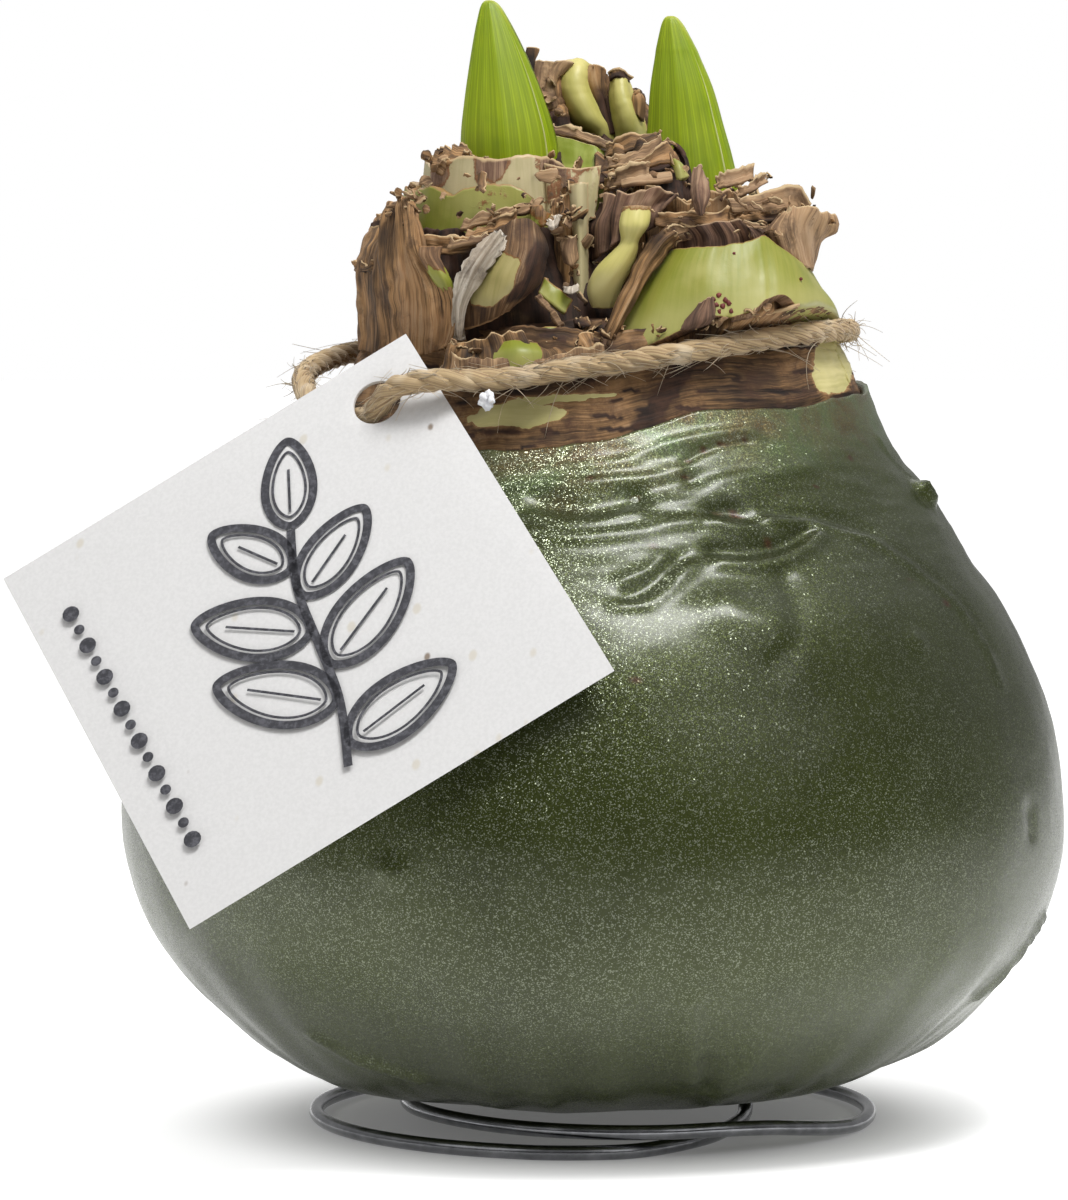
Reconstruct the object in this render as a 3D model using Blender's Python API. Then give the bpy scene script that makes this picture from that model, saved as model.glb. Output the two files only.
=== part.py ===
"""Amaryllis bulb in a wax coat, with cut neck, two shoots, twine and tag, on a coil of wire.

Lengths are written in millimetres and turned into metres where a mesh is made.
Angles are degrees about +Z: 0 is the right (+X), -90 the front (-Y).
"""
import math
import random

import bmesh
import bpy
from mathutils import Matrix, Vector

MM = 0.001

# Wire stand
WIRE_RADIUS = 0.8
WIRE_SIDES = 8
WIRE_POINTS = 100
RING_RADIUS = 30.7
INNER_TURN_RADIUS = 20.6
WIRE_CROSSING_HEIGHT = 2.85
INNER_TURN_HEIGHT = 2.35
PIN_PLACE = (17.0, -2.0)
PIN_TOP = 12.0
BORE_RADIUS = 1.3

# Wax: radius and height of its outside, from the middle of the foot to the neck
WAX_OUTLINE = [
    (0.0, 3.5), (12.0, 3.5), (20.0, 3.6), (26.0, 4.6), (31.5, 6.1), (36.6, 8.6), (41.6, 12.6),
    (46.2, 17.4), (49.6, 22.4), (51.6, 28.5), (52.1, 34.0), (51.4, 40.5), (49.6, 47.5),
    (45.6, 57.0), (41.8, 62.0), (35.2, 70.4), (31.8, 75.4), (29.5, 80.5), (28.6, 86.0),
]
WAX_WALL = 2.0
WAX_EDGE_WALL = 0.8
WAX_EDGE_HEIGHT = 76.4
WAX_EDGE_SLOPE = 0.15
WAX_COLUMNS = 56
WAX_ROWS = 25
WAX_INNER_COLUMNS = 36
WAX_INNER_ROWS = 18
WAX_TO_BULB = 0.8

# Bulb: from inside the wax to the flat top of the trunk, where the noses stand
TRUNK_OUTLINE = [(27.6, 79.0), (26.6, 82.0), (25.5, 84.6), (23.9, 87.0), (21.5, 88.4), (12.0, 88.8), (0.0, 88.8)]
TRUNK_SHOULDER = 86.8
BULB_COLUMNS = 40
BULB_ROWS = 26
NECK_SHIFT = 1.0
NECK_FLATTENING = 0.1

# Noses: plan centre and the stump that each shoot stands on
LEFT_NOSE = (-8.8, -1.0)
RIGHT_NOSE = (10.6, 0.4)
BACK_NOSE = (-0.8, 12.0)
NECK_MIDDLE = (1.0, 0.0)
STUMP_RADIUS = 5.6
LEFT_STUMP_TOP = 96.0
RIGHT_STUMP_TOP = 95.0
SEAT_GAP = 0.3

# Shoots
LEFT_TIP = (-11.4, 0.6, 123.6)
RIGHT_TIP = (8.9, 1.0, 121.9)
SHOOT_HALF_WIDTH = 5.3
SHOOT_HALF_DEPTH = 3.6

# Twine, tag
TWINE_RADIUS = 1.25
KNOT_CENTRE = (1.0, 26.5, 86.1)
KNOT_RADII = (2.5, 2.3, 2.6)
TAG_SIDE = 50.0
TAG_THICKNESS = 0.5
TAG_HOLE_RADIUS = 2.6
TAG_HOLE_FROM_EDGES = (6.4, 6.1)
TAG_CORNER = (-62.9, -23.5, 61.1)
TAG_RIGHT = (0.854, 0.032, 0.519)
TAG_DOWN = (0.434, -0.594, -0.677)

# The middle of the tag's hole, worked out from the tag
HOLE = tuple(
    TAG_CORNER[i] + (TAG_SIDE - TAG_HOLE_FROM_EDGES[0]) * TAG_RIGHT[i] + TAG_HOLE_FROM_EDGES[1] * TAG_DOWN[i]
    for i in range(3)
)

# Where the twine is just behind and just in front of the hole
THROUGH_BACK = (HOLE[0] - 0.69, HOLE[1] + 0.97, HOLE[2] - 1.07)
THROUGH_FRONT = (HOLE[0] + 1.22, HOLE[1] - 1.89, HOLE[2] + 1.19)

# The twine's route, from the knot at the back round the left, through the tag, and back
TWINE_ROUTE = [
    (-2.2, 25.4, 86.2), (-8.0, 24.0, 86.0), (-15.5, 20.5, 85.7), (-21.8, 15.2, 85.3), (-26.3, 8.9, 84.9),
    (-29.2, 1.8, 84.1), (-31.2, -6.0, 82.9), (-31.4, -13.2, 81.4), (-29.7, -19.8, 79.0), (-26.7, -22.4, 77.8),
    THROUGH_BACK, THROUGH_FRONT,
    (-19.7, -29.0, 81.7), (-16.7, -29.4, 82.1), (-9.1, -27.6, 82.2), (-2.0, -26.4, 83.3), (6.0, -25.8, 84.4),
    (14.0, -22.7, 85.7), (21.3, -16.8, 86.8), (26.1, -9.8, 87.3), (28.2, -1.6, 87.3), (27.2, 7.6, 87.0),
    (23.5, 14.7, 86.7), (16.8, 20.9, 86.4), (9.7, 24.2, 86.2), (4.2, 25.4, 86.2),
]
TWINE_POINTS = 56

# A plate's column width, the trunk's mean radii and the gap under a tunic on the trunk
PLATE_COLUMN = 2.9
TRUNK_RADII = (27.0, 24.0)
TUNIC_GAP = 0.65

# Leaf bases and tunics. Each is a plate bent round its nose: plan centre, half widths of its
# outside at the height 'at', lean (mm of radius per mm of height), the angles it runs between,
# foot height, rim heights at even steps along it, and wall.
PLATES = [
    dict(name="leaf_base_left_inner", nose=LEFT_NOSE, radii=(9.9, 11.0), at=104.0, lean=-0.12,
         turn=(-36, -256), foot=89.1, wall=1.7,
         rim=[101.5, 105.6, 106.4, 105.9, 106.3, 105.4, 105.8, 107.0, 108.6, 109.0, 108.0]),
    dict(name="leaf_base_left_outer", nose=LEFT_NOSE, radii=(12.3, 13.6), at=102.0, lean=-0.14,
         turn=(-62, -248), foot=89.1, wall=1.6,
         rim=[97.5, 102.3, 103.2, 102.6, 103.4, 103.0, 103.6, 104.6, 105.4, 104.2]),
    dict(name="leaf_base_left_dry", nose=LEFT_NOSE, radii=(14.2, 15.9), at=98.0, lean=-0.14,
         turn=(-68, -244), foot=89.1, wall=0.9,
         rim=[94.0, 97.6, 99.2, 98.0, 99.8, 99.6, 98.8, 100.8, 102.0, 100.4]),
    dict(name="tunic_left", nose=LEFT_NOSE, radii=(17.5, 18.9), at=92.0, lean=-0.14,
         turn=(-126, -222), foot=89.3, wall=0.8, bent_in=1.6,
         rim=[95.0, 99.6, 102.2, 101.4, 97.6, 95.4, 96.6, 94.0]),
    dict(name="tunic_curl", nose=LEFT_NOSE, radii=(16.4, 18.2), at=92.0, lean=0.0,
         turn=(-66, -118), foot=91.2, wall=0.8, curl=1.6,
         rim=[94.2, 97.6, 99.6, 98.8, 96.8, 95.0]),
    dict(name="leaf_base_right_fleshy", nose=RIGHT_NOSE, radii=(14.1, 18.4), at=95.0, lean=-0.16,
         turn=(-122, 12), foot=89.1, wall=2.3,
         rim=[90.6, 94.6, 96.4, 96.6, 97.6, 97.0, 96.2, 95.2, 94.4]),
    dict(name="leaf_base_right_purple", nose=RIGHT_NOSE, radii=(11.0, 14.5), at=98.0, lean=-0.1,
         turn=(-140, 28), foot=89.1, wall=0.7,
         rim=[96.0, 99.2, 98.6, 99.4, 98.8, 99.6, 99.0, 100.2, 99.4]),
    dict(name="leaf_base_right_dry_1", nose=RIGHT_NOSE, radii=(9.7, 12.4), at=100.0, lean=-0.1,
         turn=(-150, 88), foot=89.1, wall=0.6,
         rim=[100.0, 101.8, 101.0, 101.9, 100.9, 101.6, 101.2, 102.3, 101.4, 102.0, 101.0]),
    dict(name="leaf_base_right_dry_2", nose=RIGHT_NOSE, radii=(8.5, 10.7), at=102.0, lean=-0.1,
         turn=(-160, 84), foot=89.1, wall=0.6,
         rim=[102.6, 104.0, 103.0, 102.4, 103.0, 102.2, 102.8, 103.8, 103.0, 103.6, 102.6]),
    dict(name="leaf_base_right_dry_3", nose=RIGHT_NOSE, radii=(7.4, 9.0), at=103.0, lean=-0.06,
         turn=(-172, 80), foot=89.1, wall=0.7,
         rim=[104.4, 106.0, 105.2, 104.2, 103.6, 104.0, 103.4, 104.2, 105.0, 104.2]),
    dict(name="tunic_right_tip", nose=RIGHT_NOSE, radii=(15.5, 20.0), at=95.0, lean=-0.12,
         turn=(-34, 14), foot=89.4, wall=0.8,
         rim=[95.0, 97.6, 99.4, 101.6, 98.6]),
    dict(name="tunic_right", nose=RIGHT_NOSE, radii=(16.0, 20.4), at=90.0, lean=-0.16,
         turn=(-118, -42), foot=89.2, wall=0.7,
         rim=[90.6, 91.2, 92.4, 90.9, 91.1, 92.2, 91.4]),
    dict(name="dry_wrap_back", nose=BACK_NOSE, radii=(7.2, 5.4), at=105.0, lean=-0.03,
         turn=(-4, 192), foot=89.1, wall=0.9,
         rim=[108.0, 110.6, 112.8, 115.0, 116.6, 117.4, 116.2, 117.0, 115.0]),
    dict(name="leaf_base_back_left", nose=NECK_MIDDLE, radii=(23.3, 22.1), at=92.0, lean=-0.12,
         turn=(131, 95), foot=89.1, wall=1.4,
         rim=[96.0, 98.6, 100.2, 99.6, 98.8, 97.2]),
    dict(name="leaf_base_back_right", nose=NECK_MIDDLE, radii=(23.3, 22.1), at=92.0, lean=-0.12,
         turn=(88, 34), foot=89.1, wall=1.6,
         rim=[96.6, 98.2, 98.6, 99.8, 98.6, 96.0]),
    dict(name="tunic_back", nose=NECK_MIDDLE, radii=(24.6, 23.4), at=92.0, lean=-0.12,
         turn=(136, 40), foot=89.4, wall=0.7,
         rim=[92.6, 94.4, 93.2, 94.9, 95.6, 94.2, 94.8, 93.0]),
    dict(name="leaf_base_front", nose=NECK_MIDDLE, radii=(24.0, 22.6), at=89.0, lean=-0.1,
         turn=(-121, -92), foot=89.1, wall=1.0,
         rim=[89.9, 90.1, 90.4, 90.1]),
    dict(name="neck_tunic_front", turn=(-38, -150), wall=0.7, on_trunk=True,
         rim=[87.6, 88.0, 87.5, 88.2, 87.8, 87.3, 88.0, 87.4, 88.1, 87.5]),
    dict(name="neck_tunic_left", turn=(-154, -262), wall=0.7, on_trunk=True,
         rim=[87.3, 87.9, 87.4, 88.1, 87.6, 87.2, 87.9, 87.4]),
    dict(name="neck_tunic_right", turn=(94, -14), wall=0.7, on_trunk=True,
         rim=[87.6, 88.1, 87.5, 88.2, 87.7, 88.2, 87.4, 87.9]),
]

# Upright stubs: axis points, radius at each, and flattening front to back
STUBS = [
    dict(name="leaf_base_cleft", axis=[(0.1, -13.5, 89.1), (0.8, -13.4, 92.2), (2.2, -13.4, 95.4),
                                       (3.4, -13.2, 98.4), (4.3, -13.0, 101.4)],
         radii=[1.5, 2.0, 1.3, 1.5, 0.7], depth=0.6),
    dict(name="tongue_left", axis=[(-0.2, 11.4, 89.1), (-0.6, 11.2, 98.0), (-1.2, 10.9, 108.5),
                                   (-2.0, 10.6, 113.4), (-2.4, 10.4, 116.4)],
         radii=[2.0, 2.3, 2.6, 2.2, 0.9], depth=0.45),
    dict(name="tongue_right", axis=[(3.2, 7.6, 89.1), (3.3, 7.7, 98.0), (3.2, 7.9, 107.6),
                                    (3.0, 8.0, 112.0), (2.8, 8.0, 115.2)],
         radii=[1.3, 1.5, 1.8, 1.4, 0.5], depth=0.6),
]

FLESHY = {
    "leaf_base_left_inner", "leaf_base_left_outer", "leaf_base_right_fleshy", "leaf_base_back_left",
    "leaf_base_back_right", "leaf_base_front",
}

COLOURS = {
    "wire_stand": ((0.55, 0.55, 0.56), 0.3, 1.0),
    "wax_coat": ((0.07, 0.09, 0.04), 0.32, 0.3),
    "bulb": ((0.25, 0.14, 0.07), 0.8, 0.0),
    "sprout": ((0.32, 0.45, 0.05), 0.4, 0.0),
    "leaf_base": ((0.5, 0.48, 0.2), 0.5, 0.0),
    "dry": ((0.3, 0.19, 0.1), 0.85, 0.0),
    "twine": ((0.6, 0.47, 0.3), 0.9, 0.0),
    "tag": ((0.8, 0.8, 0.79), 0.7, 0.0),
}


def remove_everything():
    for thing in list(bpy.data.objects):
        bpy.data.objects.remove(thing, do_unlink=True)


def smooth_step(value, low, high):
    share = min(1.0, max(0.0, (value - low) / (high - low)))
    return share * share * (3.0 - 2.0 * share)


def spline(points, place):
    """Point of a smooth curve through the points, at a place counted in points."""
    last = len(points) - 1
    start = min(int(place), last - 1)
    t = place - start
    p0, p1, p2, p3 = (points[min(max(start + k, 0), last)] for k in (-1, 0, 1, 2))
    return tuple(
        0.5 * (2 * b + (c - a) * t + (2 * a - 5 * b + 4 * c - d) * t * t + (3 * b - a - 3 * c + d) * t ** 3)
        for a, b, c, d in zip(p0, p1, p2, p3)
    )


def even_curve(points, count):
    """Points at even spacing along the smooth curve."""
    fine = [Vector(spline(points, i * (len(points) - 1) / 600)) for i in range(601)]
    length = [0.0]
    for a, b in zip(fine, fine[1:]):
        length.append(length[-1] + (b - a).length)
    result = []
    index = 0
    for i in range(count):
        wanted = length[-1] * i / (count - 1)
        while index < len(length) - 2 and length[index + 1] < wanted:
            index += 1
        step = length[index + 1] - length[index]
        result.append(fine[index].lerp(fine[index + 1], (wanted - length[index]) / step))
    return result


def material(node, kind):
    colour, roughness, metallic = COLOURS[kind]
    made = bpy.data.materials.new(node)
    made.use_nodes = True
    shader = made.node_tree.nodes["Principled BSDF"]
    shader.inputs["Base Color"].default_value = (*colour, 1.0)
    shader.inputs["Roughness"].default_value = roughness
    shader.inputs["Metallic"].default_value = metallic
    return made


def new_object(name, bm, kind, smooth=True):
    """Puts a bmesh made in millimetres into the scene, in metres."""
    bmesh.ops.scale(bm, vec=(MM, MM, MM), verts=bm.verts)
    mesh = bpy.data.meshes.new(name)
    bm.to_mesh(mesh)
    bm.free()
    if smooth:
        mesh.shade_smooth()
        mesh.set_sharp_from_angle(angle=math.radians(40))
    thing = bpy.data.objects.new(name, mesh)
    bpy.context.collection.objects.link(thing)
    if kind:
        mesh.materials.append(material(name, kind))
    else:
        thing.hide_render = True
        thing.display_type = "WIRE"
    return thing


def boolean(target, operation, other):
    change = target.modifiers.new(operation.lower(), "BOOLEAN")
    change.operation = operation
    change.object = other
    change.solver = "EXACT"


def cylinder(name, centre, radius, low, high, sides, kind=None, top_radius=None):
    bm = bmesh.new()
    bmesh.ops.create_cone(bm, cap_ends=True, segments=sides, radius1=radius,
                          radius2=radius if top_radius is None else top_radius, depth=high - low)
    bmesh.ops.translate(bm, vec=(centre[0], centre[1], (low + high) / 2), verts=bm.verts)
    return new_object(name, bm, kind)


# Wax coat and bulb


def lumps(turn, height):
    """How far the dipped skin stands out from its plain outline."""
    flutes = 1.0 - smooth_step(height, 6.0, 34.0)
    swell = 0.9 * math.sin(7 * turn + 0.9) + 0.55 * math.sin(11 * turn + 2.2)
    shoulder = smooth_step(height, 44.0, 62.0) * (1.0 - smooth_step(height, 70.0, 76.0))
    ripple = 0.35 * math.sin(3 * turn + height * 0.21) + 0.3 * math.sin(5 * turn - height * 0.33)
    return flutes * swell * 0.75 + shoulder * ripple


def outline_point(outline, share):
    return spline(outline, share * (len(outline) - 1))


def skin_point(turn, radius, height, inset=0.0):
    """Point of the round body, with the lumps, the neck's shift and its flattening."""
    neck = smooth_step(height, 50.0, 84.0)
    reach = max(radius - inset + lumps(turn, height) * min(1.0, radius / 20.0), 0.0)
    flat = 1.0 - NECK_FLATTENING * neck
    return Vector((reach * math.cos(turn) + NECK_SHIFT * neck, reach * math.sin(turn) * flat, height))


def inset_outline(outline, depth):
    """The outline moved square to itself, towards the inside."""
    moved = []
    for index, (radius, height) in enumerate(outline):
        before = outline[max(index - 1, 0)]
        after = outline[min(index + 1, len(outline) - 1)]
        along = Vector((after[0] - before[0], after[1] - before[1])).normalized()
        moved.append((max(radius - along.y * depth, 0.0), height + along.x * depth))
    return moved


def share_at_height(outline, height):
    low, high = 0.5, 1.0
    for _ in range(30):
        middle = (low + high) / 2
        if outline_point(outline, middle)[1] < height:
            low = middle
        else:
            high = middle
    return low


def wax_edge_height(turn):
    across = 30.0 * math.cos(turn)
    ragged = 0.5 * math.sin(5 * turn + 1.0) + 0.35 * math.sin(9 * turn)
    return WAX_EDGE_HEIGHT + WAX_EDGE_SLOPE * across + ragged


def wax_side(columns, rows, outline, drop):
    """One side of the coat: a ball with its top opened, its points moved onto the outline."""
    bm = bmesh.new()
    bmesh.ops.create_uvsphere(bm, u_segments=columns, v_segments=rows + 1, radius=1.0)
    top = max(bm.verts, key=lambda vert: vert.co.z)
    bmesh.ops.delete(bm, geom=[top], context="VERTS")
    for vert in bm.verts:
        turn = math.atan2(vert.co.y, vert.co.x)
        row = (math.degrees(math.asin(max(-1.0, min(1.0, vert.co.z)))) + 90.0) / 180.0 * (rows + 1) / rows
        edge = share_at_height(outline, wax_edge_height(turn) - drop)
        radius, height = outline_point(outline, edge * min(row, 1.0))
        vert.co = skin_point(turn, radius, height)
    return bm


def tapered_inset(outline):
    """The inside of the coat: the wall thins towards the open edge."""
    full = inset_outline(outline, WAX_WALL)
    thin = inset_outline(outline, WAX_EDGE_WALL)
    result = []
    for (outer, thick, edge) in zip(outline, full, thin):
        share = smooth_step(outer[1], 58.0, 74.0)
        result.append(tuple(a + (b - a) * share for a, b in zip(thick, edge)))
    return result


def join_loops(bm):
    rims = [edge for edge in bm.edges if edge.is_boundary]
    bmesh.ops.bridge_loops(bm, edges=rims)


def make_wax_coat(bore):
    bm = wax_side(WAX_COLUMNS, WAX_ROWS, WAX_OUTLINE, 0.0)
    inner = wax_side(WAX_INNER_COLUMNS, WAX_INNER_ROWS, tapered_inset(WAX_OUTLINE), 0.25)
    bmesh.ops.reverse_faces(inner, faces=inner.faces)
    mesh = bpy.data.meshes.new("inside")
    inner.to_mesh(mesh)
    inner.free()
    bm.from_mesh(mesh)
    bpy.data.meshes.remove(mesh)
    join_loops(bm)
    bmesh.ops.recalc_face_normals(bm, faces=bm.faces)
    coat = new_object("wax_coat", bm, "wax_coat")
    boolean(coat, "DIFFERENCE", bore)


def bulb_outline():
    """The wax's outline, moved in, up to its edge, then the bare trunk."""
    inside = inset_outline(WAX_OUTLINE, WAX_WALL + WAX_TO_BULB)
    lower = [point for point in inside if point[1] < 75.0]
    return lower + TRUNK_OUTLINE


def make_bulb(bore):
    outline = bulb_outline()
    bm = bmesh.new()
    bmesh.ops.create_uvsphere(bm, u_segments=BULB_COLUMNS, v_segments=BULB_ROWS, radius=1.0)
    for vert in bm.verts:
        turn = math.atan2(vert.co.y, vert.co.x)
        share = (math.degrees(math.asin(max(-1.0, min(1.0, vert.co.z)))) + 90.0) / 180.0
        radius, height = outline_point(outline, share)
        vert.co = skin_point(turn, radius, height)
    body = new_object("bulb", bm, "bulb")
    stumps = [
        cylinder("stump_left", LEFT_NOSE, STUMP_RADIUS + 0.9, 80.0, LEFT_STUMP_TOP, 20, top_radius=STUMP_RADIUS),
        cylinder("stump_right", RIGHT_NOSE, STUMP_RADIUS + 0.6, 80.0, RIGHT_STUMP_TOP, 20,
                 top_radius=STUMP_RADIUS),
    ]
    for stump in stumps:
        boolean(body, "UNION", stump)
    boolean(body, "DIFFERENCE", bore)


# Leaf bases, tunics, stubs and shoots


def plate_point(plate, share, height):
    """Point of the plate's outside."""
    start, end = plate["turn"]
    turn = math.radians(start + (end - start) * share)
    if plate.get("on_trunk"):
        outline = bulb_outline()
        radius = outline_point(outline, share_at_height(outline, min(height, TRUNK_SHOULDER)))[0]
        return skin_point(turn, radius + TUNIC_GAP + plate["wall"], height)
    grow = plate["lean"] * (height - plate["at"])
    grow -= plate.get("bent_in", 0.0) * smooth_step(height, 95.0, 102.0)
    grow += plate.get("curl", 0.0) * smooth_step(share, 0.6, 1.0)
    ripple = 0.1 * math.sin(share * 31.0 + height * 0.35)
    rx, ry = plate["radii"]
    return Vector((plate["nose"][0] + (rx + grow + ripple) * math.cos(turn),
                   plate["nose"][1] + (ry + grow + ripple) * math.sin(turn), height))


def plate_foot(plate, share):
    """A tunic on the trunk starts at the wax's edge; any other plate is level at its foot."""
    if plate.get("on_trunk"):
        start, end = plate["turn"]
        return wax_edge_height(math.radians(start + (end - start) * share)) + SEAT_GAP
    return plate["foot"] + plate["wall"] * abs(plate["lean"])


def rim_height(plate, share, rng_shift):
    rim = [(height,) for height in plate["rim"]]
    plain = spline(rim, share * (len(rim) - 1))[0]
    torn = 0.35 * math.sin(share * 47.0 + rng_shift) + 0.25 * math.sin(share * 83.0 + 2 * rng_shift)
    return plain + torn


def make_plate(plate, shift):
    name = plate["name"]
    start, end = plate["turn"]
    run = math.radians(abs(end - start)) * sum(plate.get("radii", TRUNK_RADII)) / 2
    columns = max(6, round(run / PLATE_COLUMN))
    tall = max(plate["rim"]) - plate_foot(plate, 0.5)
    rows = 2 if tall < 4.0 else 3 if tall < 10.0 and not plate.get("on_trunk") else 4
    bm = bmesh.new()
    bmesh.ops.create_grid(bm, x_segments=columns, y_segments=rows, size=0.5)
    rims = []
    for vert in bm.verts:
        share = vert.co.x + 0.5
        level = vert.co.y + 0.5
        foot = plate_foot(plate, share)
        top = rim_height(plate, share, shift)
        height = foot + (top - foot) * level
        vert.co = plate_point(plate, share, height)
        if level > 0.99:
            rims.append(vert.index)
    bmesh.ops.triangulate(bm, faces=bm.faces)
    if end > start:
        bmesh.ops.reverse_faces(bm, faces=bm.faces)
    bm.verts.index_update()
    kind = "leaf_base" if name in FLESHY else "dry"
    thing = new_object(name, bm, kind, smooth=False)
    outward = thing.data.polygons[0]
    nose = plate.get("nose", NECK_MIDDLE)
    middle = Vector((nose[0] * MM, nose[1] * MM, outward.center.z))
    if outward.normal.dot(outward.center - middle) < 0:
        thing.data.flip_normals()
    body = thing.vertex_groups.new(name="wall")
    body.add([v.index for v in thing.data.vertices], 1.0, "REPLACE")
    body.add(rims, 0.75, "REPLACE")
    wall = thing.modifiers.new("wall", "SOLIDIFY")
    wall.thickness = plate["wall"] * MM
    wall.offset = -1.0
    wall.vertex_group = "wall"
    wall.thickness_vertex_group = 0.0


def ball_along(name, kind, axis, radii, depth, sides, rings, corner=2.0):
    """A closed stub: a ball whose rings are moved along an axis."""
    bm = bmesh.new()
    bmesh.ops.create_uvsphere(bm, u_segments=sides, v_segments=rings, radius=1.0)
    for vert in bm.verts:
        turn = math.atan2(vert.co.y, vert.co.x)
        share = (math.degrees(math.asin(max(-1.0, min(1.0, vert.co.z)))) + 90.0) / 180.0
        at_pole = share < 0.001 or share > 0.999
        place = share * (len(axis) - 1)
        centre = Vector(spline(axis, place))
        width = 0.0 if at_pole else spline([(r,) for r in radii], place)[0]
        c, s = math.cos(turn), math.sin(turn)
        x = math.copysign(abs(c) ** (2.0 / corner), c) * width
        y = math.copysign(abs(s) ** (2.0 / corner), s) * width * depth
        vert.co = centre + Vector((x, y, 0.0))
    return new_object(name, bm, kind)


def make_shoot(name, nose, foot, tip):
    """Two leaves pressed together: broad to the front, blunt at the tip."""
    rise = tip[2] - foot
    axis = []
    radii = []
    for share, width in ((0.0, 0.86), (0.12, 0.96), (0.3, 1.03), (0.45, 1.0), (0.6, 0.83), (0.74, 0.62),
                         (0.87, 0.39), (0.95, 0.22), (1.0, 0.09)):
        bend = share * share
        axis.append((nose[0] + (tip[0] - nose[0]) * bend, nose[1] + (tip[1] - nose[1]) * bend,
                     foot + rise * share))
        radii.append(width * SHOOT_HALF_WIDTH)
    ball_along(name, "sprout", axis, radii, SHOOT_HALF_DEPTH / SHOOT_HALF_WIDTH, 18, 16, corner=1.8)


# Wire, twine and tag


def wire_route():
    """From the pin's top, down and forward, once round the floor ring, up and in to the inner turn."""
    x, y = PIN_PLACE
    rest = WIRE_RADIUS
    lead = [(x, y, PIN_TOP), (x, y, 8.0), (x, y, 4.8), (x, y, 3.5), (x - 0.1, y - 0.8, 1.7),
            (x - 0.3, y - 2.4, 0.95), (15.8, -9.0, rest), (12.8, -18.4, rest), (8.2, -25.4, rest),
            (3.0, -29.6, rest)]
    first = -98.0
    steps = 30
    ring = []
    for i in range(steps + 1):
        turn = math.radians(first - (326.0) * i / steps)
        share = i / steps
        height = rest + (WIRE_CROSSING_HEIGHT - rest) * smooth_step(share, 0.86, 1.0)
        ring.append((RING_RADIUS * math.cos(turn), RING_RADIUS * math.sin(turn), height))
    inner = []
    last = first - 326.0
    steps = 20
    for i in range(1, steps + 1):
        share = i / steps
        turn = math.radians(last - 235.0 * share)
        radius = RING_RADIUS + (INNER_TURN_RADIUS - RING_RADIUS) * smooth_step(share, 0.0, 0.5)
        height = WIRE_CROSSING_HEIGHT + (INNER_TURN_HEIGHT - WIRE_CROSSING_HEIGHT) * smooth_step(share, 0.25, 0.5)
        inner.append((radius * math.cos(turn), radius * math.sin(turn), height))
    return lead + ring + inner


def make_wire_stand():
    points = even_curve(wire_route(), WIRE_POINTS)
    for point in points:
        point.z = max(point.z, WIRE_RADIUS)
    corner = WIRE_RADIUS / math.cos(math.pi / WIRE_SIDES)
    bm = bmesh.new()
    up = Vector((0.0, -1.0, 0.0))
    rings = []
    for index, point in enumerate(points):
        before = points[max(index - 1, 0)]
        after = points[min(index + 1, len(points) - 1)]
        along = (after - before).normalized()
        wanted = Vector((0.0, 0.0, 1.0)) if abs(along.z) < 0.6 else up
        up = (wanted - along * wanted.dot(along)).normalized()
        side = along.cross(up)
        ring = []
        for k in range(WIRE_SIDES):
            turn = 2 * math.pi * (k + 0.5) / WIRE_SIDES
            ring.append(bm.verts.new(point + (up * math.cos(turn) + side * math.sin(turn)) * corner))
        rings.append(ring)
    for a, b in zip(rings, rings[1:]):
        for k in range(WIRE_SIDES):
            n = (k + 1) % WIRE_SIDES
            bm.faces.new((a[k], a[n], b[n], b[k]))
    bm.faces.new(rings[0])
    bm.faces.new(list(reversed(rings[-1])))
    bmesh.ops.recalc_face_normals(bm, faces=bm.faces)
    new_object("wire_stand", bm, "wire_stand")


def make_twine():
    curve = bpy.data.curves.new("twine", "CURVE")
    curve.dimensions = "3D"
    curve.bevel_depth = TWINE_RADIUS * MM
    curve.bevel_resolution = 2
    curve.use_fill_caps = True
    points = even_curve(TWINE_ROUTE, TWINE_POINTS)
    line = curve.splines.new("POLY")
    line.points.add(len(points) - 1)
    for target, point in zip(line.points, points):
        target.co = (point.x * MM, point.y * MM, point.z * MM, 1.0)
    thing = bpy.data.objects.new("twine", curve)
    bpy.context.collection.objects.link(thing)
    curve.materials.append(material("twine", "twine"))


def make_knot():
    bm = bmesh.new()
    bmesh.ops.create_uvsphere(bm, u_segments=12, v_segments=8, radius=1.0)
    bmesh.ops.scale(bm, vec=KNOT_RADII, verts=bm.verts)
    bmesh.ops.translate(bm, vec=KNOT_CENTRE, verts=bm.verts)
    new_object("twine_knot", bm, "twine")


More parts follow.
